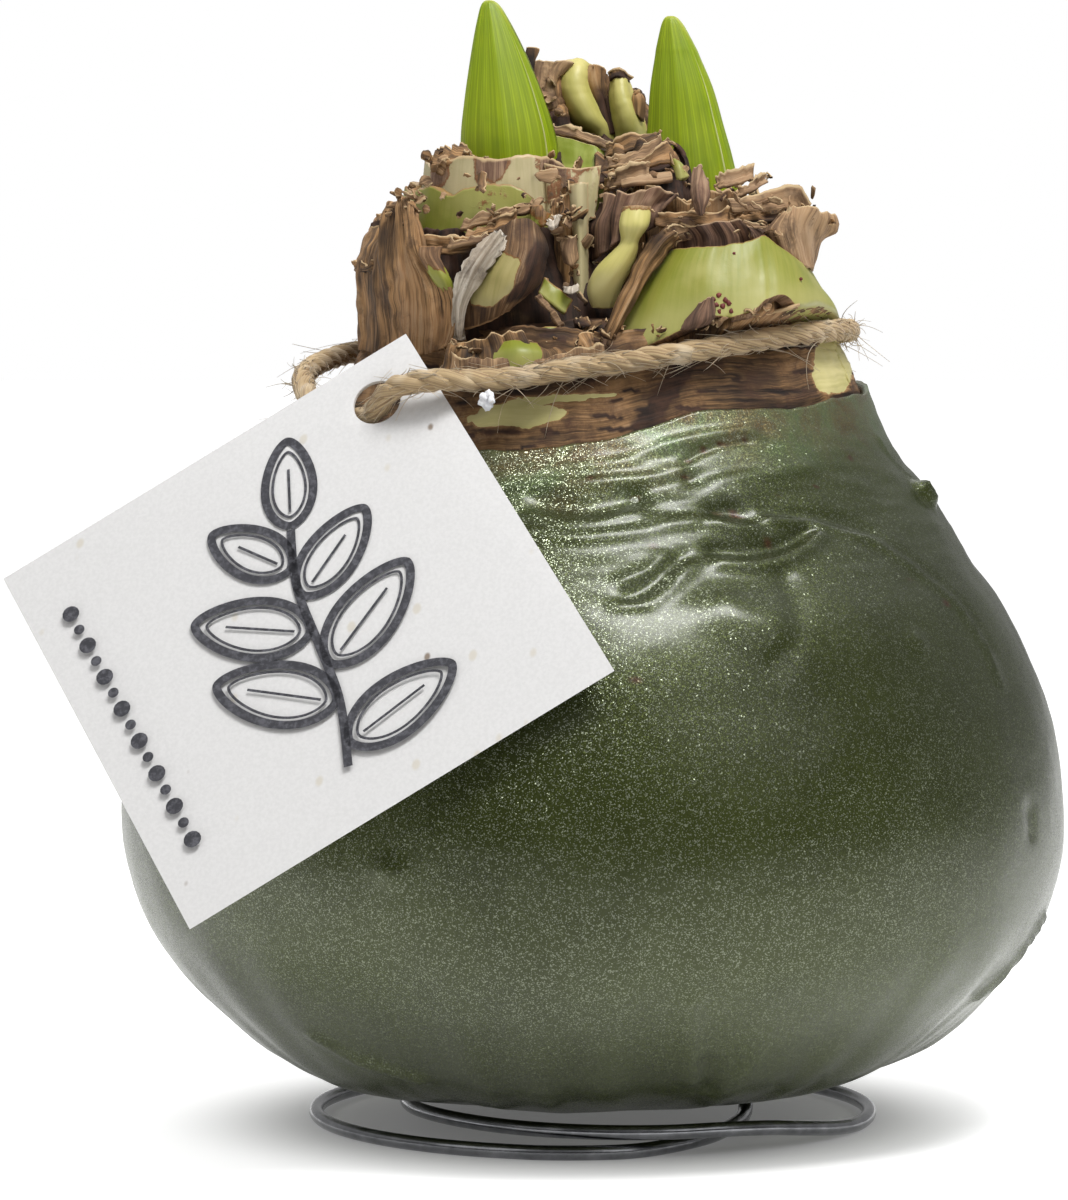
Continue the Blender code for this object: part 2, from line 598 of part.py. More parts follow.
def make_tag():
    right = Vector(TAG_RIGHT).normalized()
    down = Vector(TAG_DOWN)
    down = (down - right * down.dot(right)).normalized()
    front = down.cross(right).normalized()
    frame = Matrix((right, down, front)).transposed().to_4x4()
    frame.translation = Vector(TAG_CORNER)
    bm = bmesh.new()
    bmesh.ops.create_cube(bm, size=1.0)
    bmesh.ops.scale(bm, vec=(TAG_SIDE, TAG_SIDE, TAG_THICKNESS), verts=bm.verts)
    bmesh.ops.translate(bm, vec=(TAG_SIDE / 2, TAG_SIDE / 2, 0.0), verts=bm.verts)
    bmesh.ops.transform(bm, matrix=frame, verts=bm.verts)
    bmesh.ops.recalc_face_normals(bm, faces=bm.faces)
    tag = new_object("tag", bm, "tag", smooth=False)
    bm = bmesh.new()
    bmesh.ops.create_cone(bm, cap_ends=True, segments=20, radius1=TAG_HOLE_RADIUS, radius2=TAG_HOLE_RADIUS,
                          depth=4.0)
    place = Vector((TAG_SIDE - TAG_HOLE_FROM_EDGES[0], TAG_HOLE_FROM_EDGES[1], 0.0))
    bmesh.ops.translate(bm, vec=place, verts=bm.verts)
    bmesh.ops.transform(bm, matrix=frame, verts=bm.verts)
    bmesh.ops.recalc_face_normals(bm, faces=bm.faces)
    boolean(tag, "DIFFERENCE", new_object("tag_hole", bm, None))


def main():
    remove_everything()
    rng = random.Random(7)
    bore = cylinder("pin_bore", PIN_PLACE, BORE_RADIUS, 0.0, PIN_TOP + 1.0, 10)
    make_wax_coat(bore)
    make_bulb(bore)
    for plate in PLATES:
        make_plate(plate, rng.uniform(0.0, 6.0))
    for stub in STUBS:
        ball_along(stub["name"], "leaf_base", stub["axis"], stub["radii"], stub["depth"], 12, 12)
    make_shoot("sprout_left", LEFT_NOSE, LEFT_STUMP_TOP + SEAT_GAP, LEFT_TIP)
    make_shoot("sprout_right", RIGHT_NOSE, RIGHT_STUMP_TOP + SEAT_GAP, RIGHT_TIP)
    make_wire_stand()
    make_twine()
    make_knot()
    make_tag()


main()
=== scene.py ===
# A waxed amaryllis bulb with a cut neck, two shoots, twine and a card tag, on its wire coil.
# Lengths are millimetres here, and become metres where a mesh is finished.

import math
import random

import bmesh
import bpy
from mathutils import Matrix, Vector, noise


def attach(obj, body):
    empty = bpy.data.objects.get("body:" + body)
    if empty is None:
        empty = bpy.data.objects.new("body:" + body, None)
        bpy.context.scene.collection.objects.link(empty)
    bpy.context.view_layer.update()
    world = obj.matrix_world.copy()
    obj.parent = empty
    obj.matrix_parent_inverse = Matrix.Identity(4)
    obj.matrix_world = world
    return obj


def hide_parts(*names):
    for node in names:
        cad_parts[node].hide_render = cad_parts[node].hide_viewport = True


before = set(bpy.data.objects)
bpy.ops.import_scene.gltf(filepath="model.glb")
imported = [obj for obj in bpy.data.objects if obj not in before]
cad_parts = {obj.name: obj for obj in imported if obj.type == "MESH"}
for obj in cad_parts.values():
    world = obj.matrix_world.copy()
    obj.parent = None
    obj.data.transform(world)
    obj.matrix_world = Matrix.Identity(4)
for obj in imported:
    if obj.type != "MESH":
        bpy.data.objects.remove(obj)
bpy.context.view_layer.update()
mm = 0.001


# Small helpers

def smoothStep(value, low, high):
    share = min(1.0, max(0.0, (value - low) / (high - low)))
    return share * share * (3.0 - 2.0 * share)


def bell(distance, width):
    return math.exp(-(distance / width) ** 2)


def mixed(a, b, share):
    return a + (b - a) * share


def rough(x, y=0.0, z=0.0):
    return noise.noise((x, y, z))


def spline(points, place):
    last = len(points) - 1
    start = min(max(int(place), 0), last - 1)
    t = place - start
    p0, p1, p2, p3 = (points[min(max(start + k, 0), last)] for k in (-1, 0, 1, 2))
    return tuple(
        0.5 * (2 * b + (c - a) * t + (2 * a - 5 * b + 4 * c - d) * t * t + (3 * b - a - 3 * c + d) * t ** 3)
        for a, b, c, d in zip(p0, p1, p2, p3)
    )


def splineAt(points, share):
    # the place at a share of the way through the points, 0 to 1
    return spline(points, share * (len(points) - 1))


def along(values, share):
    # a number that runs smoothly through evenly spaced values
    return splineAt([(value,) for value in values], share)[0]


def evenCurve(points, count):
    fine = [Vector(spline(points, i * (len(points) - 1) / 600)) for i in range(601)]
    length = [0.0]
    for a, b in zip(fine, fine[1:]):
        length.append(length[-1] + (b - a).length)
    result = []
    index = 0
    for i in range(count):
        wanted = length[-1] * i / (count - 1)
        while index < len(length) - 2 and length[index + 1] < wanted:
            index += 1
        step = length[index + 1] - length[index]
        result.append(fine[index].lerp(fine[index + 1], (wanted - length[index]) / step))
    return result


def outward(side, up, turn):
    return side * math.cos(turn) + up * math.sin(turn)


def squircle(turn, power):
    # a point on a circle, which a power other than 1 flattens or fills out between its four sides
    c, s = math.cos(turn), math.sin(turn)
    return math.copysign(abs(c) ** power, c), math.copysign(abs(s) ** power, s)


def latitude(vert):
    # how far up a ball of radius 1 a point is, 0 to 1
    return (math.degrees(math.asin(max(-1.0, min(1.0, vert.co.z)))) + 90.0) / 180.0


def newGrid(bm, columns, rows):
    # the points of a new grid, one unit wide and tall round the origin
    before = set(bm.verts)
    bmesh.ops.create_grid(bm, x_segments=columns, y_segments=rows, size=0.5, calc_uvs=True)
    return [vert for vert in bm.verts if vert not in before]


def facesOf(verts):
    return {face for vert in verts for face in vert.link_faces}


def paintLayers(bm, names=("dry", "dark", "rim", "pale")):
    # the number layers that a material reads, by name, and the UV layer
    for name in names:
        if bm.verts.layers.float.get(name) is None:
            bm.verts.layers.float.new(name)
    uv = bm.loops.layers.uv.verify()
    return {name: bm.verts.layers.float[name] for name in names}, uv


def linked(name, data):
    thing = bpy.data.objects.new(name, data)
    bpy.context.collection.objects.link(thing)
    return thing


def meshed(name, bm, material, smooth):
    # puts a bmesh made in millimetres into the scene
    bmesh.ops.scale(bm, vec=(mm, mm, mm), verts=bm.verts)
    mesh = bpy.data.meshes.new(name)
    bm.to_mesh(mesh)
    bm.free()
    mesh.materials.append(material)
    if smooth:
        mesh.shade_smooth()
    return linked(name, mesh)


def finished(name, bm, material, replaced=(), smooth=True, wall=None):
    # a visible piece on the object's one body
    thing = meshed(name, bm, material, smooth)
    if wall:
        thicken = thing.modifiers.new("wall", "SOLIDIFY")
        thicken.thickness = wall * mm
        thicken.offset = -1.0
        thicken.use_rim = True
        thicken.use_even_offset = False
    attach(thing, "root")
    if replaced:
        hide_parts(*replaced)
    return thing


# Camera, at the photograph's place

camera = {
    "eye": (-6.52, -560.0, 86.8),
    "aim": (-6.52, 0.0, 57.5),
    "lens": 152.0,
    "sensor": 36.0,
    "width": 1068.0,
    "height": 1200.0,
}


def makeCamera():
    data = bpy.data.cameras.new("camera")
    data.lens = camera["lens"]
    data.sensor_width = camera["sensor"]
    thing = linked("camera", data)
    eye = Vector(camera["eye"]) * mm
    thing.location = eye
    thing.rotation_euler = (Vector(camera["aim"]) * mm - eye).to_track_quat("-Z", "Y").to_euler()
    bpy.context.scene.camera = thing


def cameraFrame():
    # where the camera is, its three directions, and its focal length in pixels
    eye = Vector(camera["eye"])
    forward = (Vector(camera["aim"]) - eye).normalized()
    right = forward.cross(Vector((0.0, 0.0, 1.0))).normalized()
    return eye, forward, right, right.cross(forward), camera["lens"] / camera["sensor"] * camera["height"]


def seen(px, py, depth):
    # the point that the camera sees at a pixel of the photograph, on the upright plane y = depth
    eye, forward, right, up, focal = cameraFrame()
    ray = forward + right * ((px - camera["width"] / 2) / focal) + up * ((camera["height"] / 2 - py) / focal)
    return eye + ray * ((depth - eye.y) / ray.y)


def seenLine(places):
    return [tuple(seen(*place)) for place in places]


def pictured(point):
    # the pixel of the photograph where a point is seen
    eye, forward, right, up, focal = cameraFrame()
    away = point - eye
    focal /= away.dot(forward)
    return camera["width"] / 2 + away.dot(right) * focal, camera["height"] / 2 - away.dot(up) * focal


makeCamera()
bpy.context.scene.view_settings.view_transform = "Standard"
print("camera set")


# Shader helpers

class Signal:
    # a shader socket that takes part in Python sums
    def __init__(self, maker, socket):
        self.maker = maker
        self.socket = socket

    def sum(self, operation, first, second=0.0, clamp=False):
        settings = {"operation": operation, "use_clamp": clamp}
        return self.maker.node("ShaderNodeMath", settings, {0: first, 1: second})

    def __add__(self, other):
        return self.sum("ADD", self, other)

    def __sub__(self, other):
        return self.sum("SUBTRACT", self, other)

    def __rsub__(self, other):
        return self.sum("SUBTRACT", other, self)

    def __mul__(self, other):
        return self.sum("MULTIPLY", self, other)

    def above(self, level):
        return self.sum("GREATER_THAN", self, level)

    def held(self):
        return self.sum("ADD", self, 0.0, clamp=True)


class Finish:
    # one material and its nodes
    def __init__(self, name):
        self.material = bpy.data.materials.new(name)
        self.material.use_nodes = True
        self.tree = self.material.node_tree
        self.shader = self.tree.nodes["Principled BSDF"]
        self.point = None

    def node(self, kind, settings=None, sockets=None, output=0):
        made = self.tree.nodes.new(kind)
        for key, value in (settings or {}).items():
            if key == "stops":
                ramp = made.color_ramp
                while len(ramp.elements) < len(value):
                    ramp.elements.new(0.5)
                for element, (place, colour) in zip(ramp.elements, value):
                    element.position = place
                    element.color = (*colour, 1.0)
            else:
                setattr(made, key, value)
        for key, value in (sockets or {}).items():
            self.feed(made.inputs[key], value)
        return Signal(self, made.outputs[output])

    def feed(self, socket, value):
        if isinstance(value, Signal):
            self.tree.links.new(value.socket, socket)
        elif isinstance(value, tuple) and socket.type == "RGBA":
            socket.default_value = (*value, 1.0)
        else:
            socket.default_value = value

    def set(self, **values):
        for key, value in values.items():
            self.feed(self.shader.inputs[key.replace("_", " ")], value)

    def place(self):
        if self.point is None:
            self.point = self.node("ShaderNodeTexCoord", output="Object")
        return self.point

    def uv(self):
        return self.node("ShaderNodeTexCoord", output="UV")

    def attribute(self, name):
        return self.node("ShaderNodeAttribute", {"attribute_name": name}, output="Fac")

    def stretched(self, point, scale):
        return self.node("ShaderNodeMapping", {}, {"Vector": point, "Scale": scale})

    def grain(self, point, scale, detail=3.0, roughness=0.55, distortion=0.0):
        sockets = {"Vector": point, "Scale": scale, "Detail": detail, "Roughness": roughness,
                   "Distortion": distortion}
        return self.node("ShaderNodeTexNoise", {}, sockets)

    def ramp(self, factor, stops):
        return self.node("ShaderNodeValToRGB", {"stops": stops}, {"Fac": factor})

    def between(self, value, low, high):
        sockets = {"Value": value, "From Min": low, "From Max": high}
        return self.node("ShaderNodeMapRange", {"interpolation_type": "SMOOTHSTEP"}, sockets)

    def blend(self, factor, a, b):
        return self.node("ShaderNodeMix", {"data_type": "RGBA"}, {0: factor, 6: a, 7: b}, output=2)

    def cells(self, point, scale, output):
        return self.node("ShaderNodeTexVoronoi", {"feature": "F1"}, {"Vector": point, "Scale": scale}, output)

    def vector(self, operation, sockets, output=0):
        return self.node("ShaderNodeVectorMath", {"operation": operation}, sockets, output)

    def bump(self, height, strength, distance):
        sockets = {"Height": height, "Strength": strength, "Distance": distance * mm}
        return self.node("ShaderNodeBump", {}, sockets)


def srgb(red, green, blue):
    # a colour as an eye reads it, 0 to 255, made linear
    shares = (red / 255, green / 255, blue / 255)
    return tuple(c / 12.92 if c <= 0.04045 else ((c + 0.055) / 1.055) ** 2.4 for c in shares)


def mixedColour(a, b, share):
    return tuple(mixed(x, y, share) for x, y in zip(a, b))


def mixedSignal(mask, low, high):
    return mask * (high - low) + low


# Twine, its knot and the tag

twine = {
    "radius": 1.25,
    "plies": 3,
    "plyRadius": 0.8,
    "plyOffset": 0.44,
    "lay": 7.4,
    "rings": 460,
    "sides": 12,
    "strays": 760,
    "knotCentre": (1.0, 26.5, 86.1),
    "knotPoints": 44,
}
tag = {
    "side": 50.0,
    "thickness": 0.5,
    "holeRadius": 2.6,
    "holeFromEdges": (6.4, 6.1),
    "corner": (-62.9, -23.5, 61.1),
    "right": (0.854, 0.032, 0.519),
    "down": (0.434, -0.594, -0.677),
    "holeSides": 64,
    "bevel": 0.07,
    "collar": 1.6,  # a ring of points round the hole, as a multiple of its radius
}
hole = tuple(
    tag["corner"][i] + (tag["side"] - tag["holeFromEdges"][0]) * tag["right"][i]
    + tag["holeFromEdges"][1] * tag["down"][i] for i in range(3)
)
twineRoute = [
    (-2.2, 25.4, 86.2), (-8.0, 24.0, 86.0), (-15.5, 20.5, 85.7), (-21.8, 15.2, 85.3), (-26.3, 8.9, 84.9),
    (-29.2, 1.8, 84.1), (-31.2, -6.0, 82.9), (-31.4, -13.2, 81.4), (-29.7, -19.8, 79.0), (-26.7, -22.4, 77.8),
    (hole[0] - 0.69, hole[1] + 0.97, hole[2] - 1.07), (hole[0] + 1.22, hole[1] - 1.89, hole[2] + 1.19),
    (-19.7, -29.0, 81.7), (-16.7, -29.4, 82.1), (-9.1, -27.6, 82.2), (-2.0, -26.4, 83.3), (6.0, -25.8, 84.4),
    (14.0, -22.7, 85.7), (21.3, -16.8, 86.8), (26.1, -9.8, 87.3), (28.2, -1.6, 87.3), (27.2, 7.6, 87.0),
    (23.5, 14.7, 86.7), (16.8, 20.9, 86.4), (9.7, 24.2, 86.2), (4.2, 25.4, 86.2),
]


def framesAlong(points):
    # direction, side and up at each point of a curve, without sudden turns
    result = []
    up = Vector((0.0, 0.0, 1.0))
    for index, point in enumerate(points):
        ahead = (points[min(index + 1, len(points) - 1)] - points[max(index - 1, 0)]).normalized()
        if abs(ahead.dot(up)) > 0.98:
            up = Vector((0.0, 1.0, 0.0))
        up = (up - ahead * up.dot(ahead)).normalized()
        result.append((ahead, ahead.cross(up), up))
    return result


def tube(bm, points, radiusAt, sides):
    # a closed round tube: a grid whose one edge is brought round to the other
    uv = bm.loops.layers.uv.verify()
    frames = framesAlong(points)
    count = len(points) - 1
    fresh = newGrid(bm, count, sides)
    for vert in fresh:
        index = round((vert.co.x + 0.5) * count)
        turn = 2 * math.pi * (vert.co.y + 0.5)
        ahead, side, up = frames[index]
        vert.co = points[index] + outward(side, up, turn) * radiusAt(index / count, turn)
    length = sum((b - a).length for a, b in zip(points, points[1:]))
    for face in facesOf(fresh):
        for loop in face.loops:
            loop[uv].uv.x *= length * 0.1
    bmesh.ops.remove_doubles(bm, verts=fresh, dist=0.0005)
    ends = [edge for vert in fresh if vert.is_valid for edge in vert.link_edges if edge.is_boundary]
    bmesh.ops.holes_fill(bm, edges=list(set(ends)), sides=0)


def twineFinish(name, light, dark):
    skin = Finish(name)
    uv = skin.uv()
    strand = skin.grain(skin.stretched(uv, (0.5, 22.0, 1.0)), 1.0, 4.0, 0.62)
    patch = skin.grain(skin.place(), 260.0, 2.0)
    colour = skin.ramp(skin.between(strand, 0.3, 0.7), [
        (0.0, dark), (0.45, mixedColour(dark, light, 0.6)), (1.0, light),
    ])
    colour = skin.blend(skin.between(patch, 0.5, 0.75) * 0.45, colour, srgb(226, 212, 186))
    skin.set(Base_Color=colour, Roughness=0.85, Normal=skin.bump(strand, 0.9, 0.2))
    skin.set(Sheen_Weight=0.15, Sheen_Roughness=0.5)
    return skin.material


jute = twineFinish("jute", srgb(193, 168, 127), srgb(118, 90, 59))
juteHair = twineFinish("juteHair", srgb(216, 200, 172), srgb(176, 150, 116))


def makeTwine():
    points = evenCurve(twineRoute, twine["rings"])
    frames = framesAlong(points)
    length = sum((b - a).length for a, b in zip(points, points[1:]))
    bm = bmesh.new()
    for ply in range(twine["plies"]):
        line = []
        for index, point in enumerate(points):
            share = index / (len(points) - 1)
            turn = 2 * math.pi * (ply / twine["plies"] - share * length / twine["lay"])
            ahead, side, up = frames[index]
            swell = twine["plyOffset"] * (1.0 + 0.12 * rough(share * 60.0, ply * 7.0))
            line.append(point + outward(side, up, turn) * swell)

        def plyRadius(share, turn, ply=ply):
            lump = 0.1 * rough(share * 90.0, ply * 3.1, 1.7)
            strands = 0.055 * math.sin(turn * 5.0 + share * length * 1.9 + ply)
            return twine["plyRadius"] * (1.0 + lump) + strands

        tube(bm, line, plyRadius, twine["sides"])
    bmesh.ops.recalc_face_normals(bm, faces=bm.faces)
    return finished("juteTwine", bm, jute, ["twine"]), points, length


def makeStrays(points):
    # loose jute fibres that stand off the twine
    rng = random.Random(11)
    frames = framesAlong(points)
    bm = bmesh.new()
    for number in range(twine["strays"]):
        index = rng.randrange(4, len(points) - 4)
        ahead, side, up = frames[index]
        turn = rng.uniform(0, 2 * math.pi)
        out = outward(side, up, turn)
        forward = 1.0 if rng.random() < 0.5 else -1.0
        length = rng.choice((1.6, 2.4, 2.4, 3.2, 4.5, 9.0 if number % 9 == 0 else 3.0)) * rng.uniform(0.7, 1.3)
        lift = rng.uniform(0.02, 0.16) if number % 5 else rng.uniform(0.15, 0.7)
        bend = Vector((rng.uniform(-1, 1), rng.uniform(-1, 1), rng.uniform(-1, 0.6))) * 0.5
        line = []
        for step in range(8):
            s = step / 7
            place = points[index] + out * (twine["radius"] * 0.9 + length * lift * s + 0.12 * math.sin(3.1 * s))
            place += ahead * forward * length * (1.0 - lift * 0.6) * s + bend * length * s * s
            line.append(place)
        thin = rng.uniform(0.035, 0.07)
        tube(bm, line, lambda share, turn, thin=thin: thin * (1.0 - 0.6 * share), 3)
    bmesh.ops.recalc_face_normals(bm, faces=bm.faces)
    return finished("juteStrays", bm, juteHair)


def makeKnot():
    # a tight overhand knot with two short tails lying down the back
    centre = Vector(twine["knotCentre"])
    loop = [(-3.2, -1.1, 0.1), (-1.6, -0.4, 0.9), (0.2, 0.6, 1.5), (1.5, 0.9, 0.4), (0.8, 0.3, -1.3),
            (-0.9, 0.7, -1.4), (-1.5, 1.3, 0.2), (-0.2, 1.7, 1.2), (1.5, 0.4, 0.9), (3.2, -1.1, 0.1)]
    tails = [
        [(-0.6, 0.9, 0.6), (-1.6, 1.6, -0.8), (-2.4, 1.9, -3.0), (-3.0, 2.1, -5.4), (-3.2, 2.7, -7.6)],
        [(0.6, 0.9, 0.6), (1.6, 1.7, -0.4), (2.7, 1.9, -2.4), (3.0, 2.0, -4.6), (3.9, 2.6, -6.6)],
    ]
    bm = bmesh.new()
    for line, turns in ((loop, 3.0), (tails[0], 1.2), (tails[1], 1.0)):
        route = evenCurve([tuple(centre + Vector(place)) for place in line], twine["knotPoints"])
        frames = framesAlong(route)
        for ply in range(twine["plies"]):
            strand = []
            for index, point in enumerate(route):
                share = index / (len(route) - 1)
                turn = 2 * math.pi * (ply / twine["plies"] - share * turns)
                ahead, side, up = frames[index]
                spread = 0.62 * (1.0 + (1.2 * smoothStep(share, 0.86, 1.0) if line is not loop else 0.0))
                strand.append(point + outward(side, up, turn) * spread)
            tube(bm, strand, lambda share, turn: 0.56 + 0.05 * math.sin(turn * 5.0 + share * 20.0), 10)
    bmesh.ops.recalc_face_normals(bm, faces=bm.faces)
    return finished("juteKnot", bm, jute, ["twine_knot"])


def tagFrame():
    right = Vector(tag["right"]).normalized()
    down = Vector(tag["down"])
    down = (down - right * down.dot(right)).normalized()
    front = down.cross(right).normalized()
    place = Matrix((right, down, front)).transposed().to_4x4()
    place.translation = Vector(tag["corner"])
    return place


def cardFinish():
    # uncoated board with small brown and pale fibres in it
    card = Finish("card")
    point = card.place()
    grit = card.grain(point, 2600.0, 2.0)
    colour = card.blend(card.between(grit, 0.3, 0.7), srgb(203, 202, 201), srgb(209, 208, 207))
    long = card.stretched(point, (1.0, 1.0, 0.55))
    fibres = ((240.0, 0.05, 0.72, srgb(116, 96, 74)), (330.0, 0.09, 0.6, srgb(196, 190, 178)))
    for scale, size, share, tint in fibres:
        away = card.cells(long, scale, 0)
        rare = card.node("ShaderNodeSeparateColor", {}, {0: card.cells(long, scale, "Color")}).above(share)
        colour = card.blend((1.0 - card.between(away, size, size * 2.2)) * rare * 0.85, colour, tint)
    card.set(Base_Color=colour, Roughness=0.8, Normal=card.bump(grit, 0.2, 0.04))
    return card.material


def inkFinish():
    ink = Finish("charcoalInk")
    fade = ink.grain(ink.place(), 1600.0, 3.0, 0.7)
    colour = ink.ramp(ink.between(fade, 0.42, 0.68), [(0.0, srgb(44, 44, 50)), (1.0, srgb(84, 84, 90))])
    ink.set(Base_Color=colour, Roughness=0.7)
    return ink.material


def makeTag():
    # the card: a ring of points round the hole, drawn out to the square's outline
    bm = bmesh.new()

    def grown(edges):
        geom = bmesh.ops.extrude_edge_only(bm, edges=edges)["geom"]
        return [item for item in geom if isinstance(item, bmesh.types.BMVert)]

    side = tag["side"]
    centre = Vector((side - tag["holeFromEdges"][0], tag["holeFromEdges"][1], 0.0))
    bmesh.ops.create_circle(bm, cap_ends=False, segments=tag["holeSides"], radius=tag["holeRadius"])
    bmesh.ops.translate(bm, vec=centre, verts=bm.verts)
    for vert in grown(list(bm.edges)):
        vert.co = centre + (vert.co - centre) * tag["collar"]
    outer = [edge for edge in bm.edges if edge.is_boundary and (edge.verts[0].co - centre).length > 3.0]
    for vert in grown(outer):
        away = (vert.co - centre).normalized()
        reach = 1e9
        for axis in (0, 1):
            if abs(away[axis]) > 1e-6:
                limit = side if away[axis] > 0 else 0.0
                reach = min(reach, (limit - centre[axis]) / away[axis])
        vert.co = centre + away * reach
    rim = [vert for vert in bm.verts if vert.is_boundary and (vert.co - centre).length > 3.5]
    for x, y in ((0, 0), (side, 0), (side, side), (0, side)):
        corner = Vector((x, y, 0))
        min(rim, key=lambda vert: (vert.co - corner).length).co = corner
    bmesh.ops.solidify(bm, geom=bm.faces[:], thickness=tag["thickness"])
    bmesh.ops.translate(bm, vec=(0, 0, -tag["thickness"] / 2), verts=bm.verts)
    low = min(vert.co.z for vert in bm.verts)
    high = max(vert.co.z for vert in bm.verts)
    bmesh.ops.translate(bm, vec=(0, 0, -(low + high) / 2), verts=bm.verts)
    sharp = [edge for edge in bm.edges if edge.calc_face_angle(0.0) > 1.0]
    bmesh.ops.bevel(bm, geom=sharp, offset=tag["bevel"], segments=2, profile=0.5, affect="EDGES", material=-1)
    bmesh.ops.transform(bm, matrix=tagFrame(), verts=bm.verts)
    bmesh.ops.recalc_face_normals(bm, faces=bm.faces)
    piece = finished("cardTag", bm, cardFinish(), ["tag"])
    piece.data.set_sharp_from_angle(angle=math.radians(35))


sprig = {
    "lift": 0.03,
    "stem": [(22.0, 43.5), (24.6, 36.0), (25.6, 28.5), (26.6, 21.0), (29.0, 14.5)],
    "leaves": [  # place on the stem, turn from the stem, length, half width
        (0.1, 62.0, 13.0, 3.4), (0.26, -60.0, 13.6, 3.5), (0.42, 58.0, 13.4, 3.5), (0.56, -56.0, 13.0, 3.4),
        (0.72, 52.0, 11.4, 3.0), (0.84, -50.0, 10.4, 2.8), (1.0, 2.0, 10.5, 2.7),
    ],
    "strokes": [(0.0, 0.95), (0.85, 0.3)],  # how far inside the outline, and the stroke's width
    "stemWidth": 0.95,
    "veinWidth": 0.3,
    "dots": 15,
    "dotRadii": (0.95, 0.6),
    "dotPlace": (4.6, 9.0),
    "dotStep": 2.3,
}


def stroke(bm, line, width):
    # a flat ribbon along a line on the card
    count = len(line) - 1
    for vert in newGrid(bm, count, 1):
        index = round((vert.co.x + 0.5) * count)
        ahead = (line[min(index + 1, count)] - line[max(index - 1, 0)]).normalized()
        across = Vector((-ahead.y, ahead.x, 0.0))
        vert.co = line[index] + across * (width * vert.co.y)


def makeSprig():
    bm = bmesh.new()
    stem = evenCurve([(x, y, 0.0) for x, y in sprig["stem"]], 60)
    stroke(bm, stem, sprig["stemWidth"])
    for share, turn, length, half in sprig["leaves"]:
        place = share * (len(stem) - 1)
        index = min(int(place), len(stem) - 2)
        base = stem[min(int(place), len(stem) - 1)]
        ahead = (stem[index + 1] - stem[index]).normalized()
        lean = Matrix.Rotation(math.radians(turn), 3, "Z")
        axis = lean @ ahead
        across = Vector((-axis.y, axis.x, 0.0))
        for inside, width in sprig["strokes"]:
            outline = []
            for step in range(65):
                turnOnLeaf = 2 * math.pi * step / 64
                forward = 0.5 - 0.5 * math.cos(turnOnLeaf)
                bow = math.sin(turnOnLeaf) * abs(math.sin(turnOnLeaf)) ** 0.25
                wide = max(half - inside, 0.2) * bow * (1.15 - 0.35 * forward)
                reach = inside * 1.3 + (length - inside * 2.9) * forward
                outline.append(base + axis * (reach + 0.5) + across * wide)
            stroke(bm, outline, width)
        vein = [base + axis * (2.2 + (length - 5.2) * step / 12) for step in range(13)]
        stroke(bm, vein, sprig["veinWidth"])
    x, y = sprig["dotPlace"]
    for number in range(sprig["dots"]):
        dot = bmesh.ops.create_circle(bm, cap_ends=True, segments=14, radius=sprig["dotRadii"][number % 2])
        bmesh.ops.translate(bm, vec=(x, y + number * sprig["dotStep"], 0.0), verts=dot["verts"])
    bmesh.ops.recalc_face_normals(bm, faces=bm.faces)
    for face in bm.faces:
        if face.normal.z < 0:
            face.normal_flip()
    bmesh.ops.translate(bm, vec=(0, 0, tag["thickness"] / 2 + sprig["lift"]), verts=bm.verts)
    bmesh.ops.transform(bm, matrix=tagFrame(), verts=bm.verts)
    finished("printedSprig", bm, inkFinish(), smooth=False)


twinePiece, twinePath, twineLength = makeTwine()
strays = makeStrays(twinePath)
knot = makeKnot()
makeTag()
makeSprig()
tuple(twinePath[0] * mm)
twineLength * mm
[tuple(point * mm) for point in twinePath]
print("twine", round(twineLength, 1), "mm, with knot and tag")


# Wax coat

wax = {
    "columns": 320,
    "rows": 200,
    "innerColumns": 110,
    "innerRows": 50,
    "wall": 2.0,
    "edgeWall": 0.8,
    "edgeHeight": 76.4,
    "edgeSlope": 0.15,
    "outline": [
        (0.0, 3.5), (12.0, 3.5), (20.0, 3.6), (26.0, 4.6), (31.5, 6.1), (36.6, 8.6), (41.6, 12.6),
        (46.2, 17.4), (49.6, 22.4), (51.6, 28.5), (52.1, 34.0), (51.4, 40.5), (49.6, 47.5),
        (45.6, 57.0), (41.8, 62.0), (35.2, 70.4), (31.8, 75.4), (29.5, 80.5), (28.6, 86.0),
    ],
    "neckShift": 1.0,
    "neckFlattening": 0.1,
    "footHeight": 3.45,
    "markDepth": 0.85,  # how much of its depth in the table a mark gets
}


def lumps(turn, height):
    flutes = 1.0 - smoothStep(height, 6.0, 34.0)
    swell = 0.9 * math.sin(7 * turn + 0.9) + 0.55 * math.sin(11 * turn + 2.2)
    shoulder = smoothStep(height, 44.0, 62.0) * (1.0 - smoothStep(height, 70.0, 76.0))
    ripple = 0.35 * math.sin(3 * turn + height * 0.21) + 0.3 * math.sin(5 * turn - height * 0.33)
    return flutes * swell * 0.75 + shoulder * ripple


def skinPoint(turn, radius, height):
    neck = smoothStep(height, 50.0, 84.0)
    reach = max(radius + lumps(turn, height) * min(1.0, radius / 20.0), 0.0)
    flat = 1.0 - wax["neckFlattening"] * neck
    return Vector((reach * math.cos(turn) + wax["neckShift"] * neck, reach * math.sin(turn) * flat, height))


def insetOutline(outline, depth):
    moved = []
    for index, (radius, height) in enumerate(outline):
        before = outline[max(index - 1, 0)]
        after = outline[min(index + 1, len(outline) - 1)]
        ahead = Vector((after[0] - before[0], after[1] - before[1])).normalized()
        moved.append((max(radius - ahead.y * depth, 0.0), height + ahead.x * depth))
    return moved


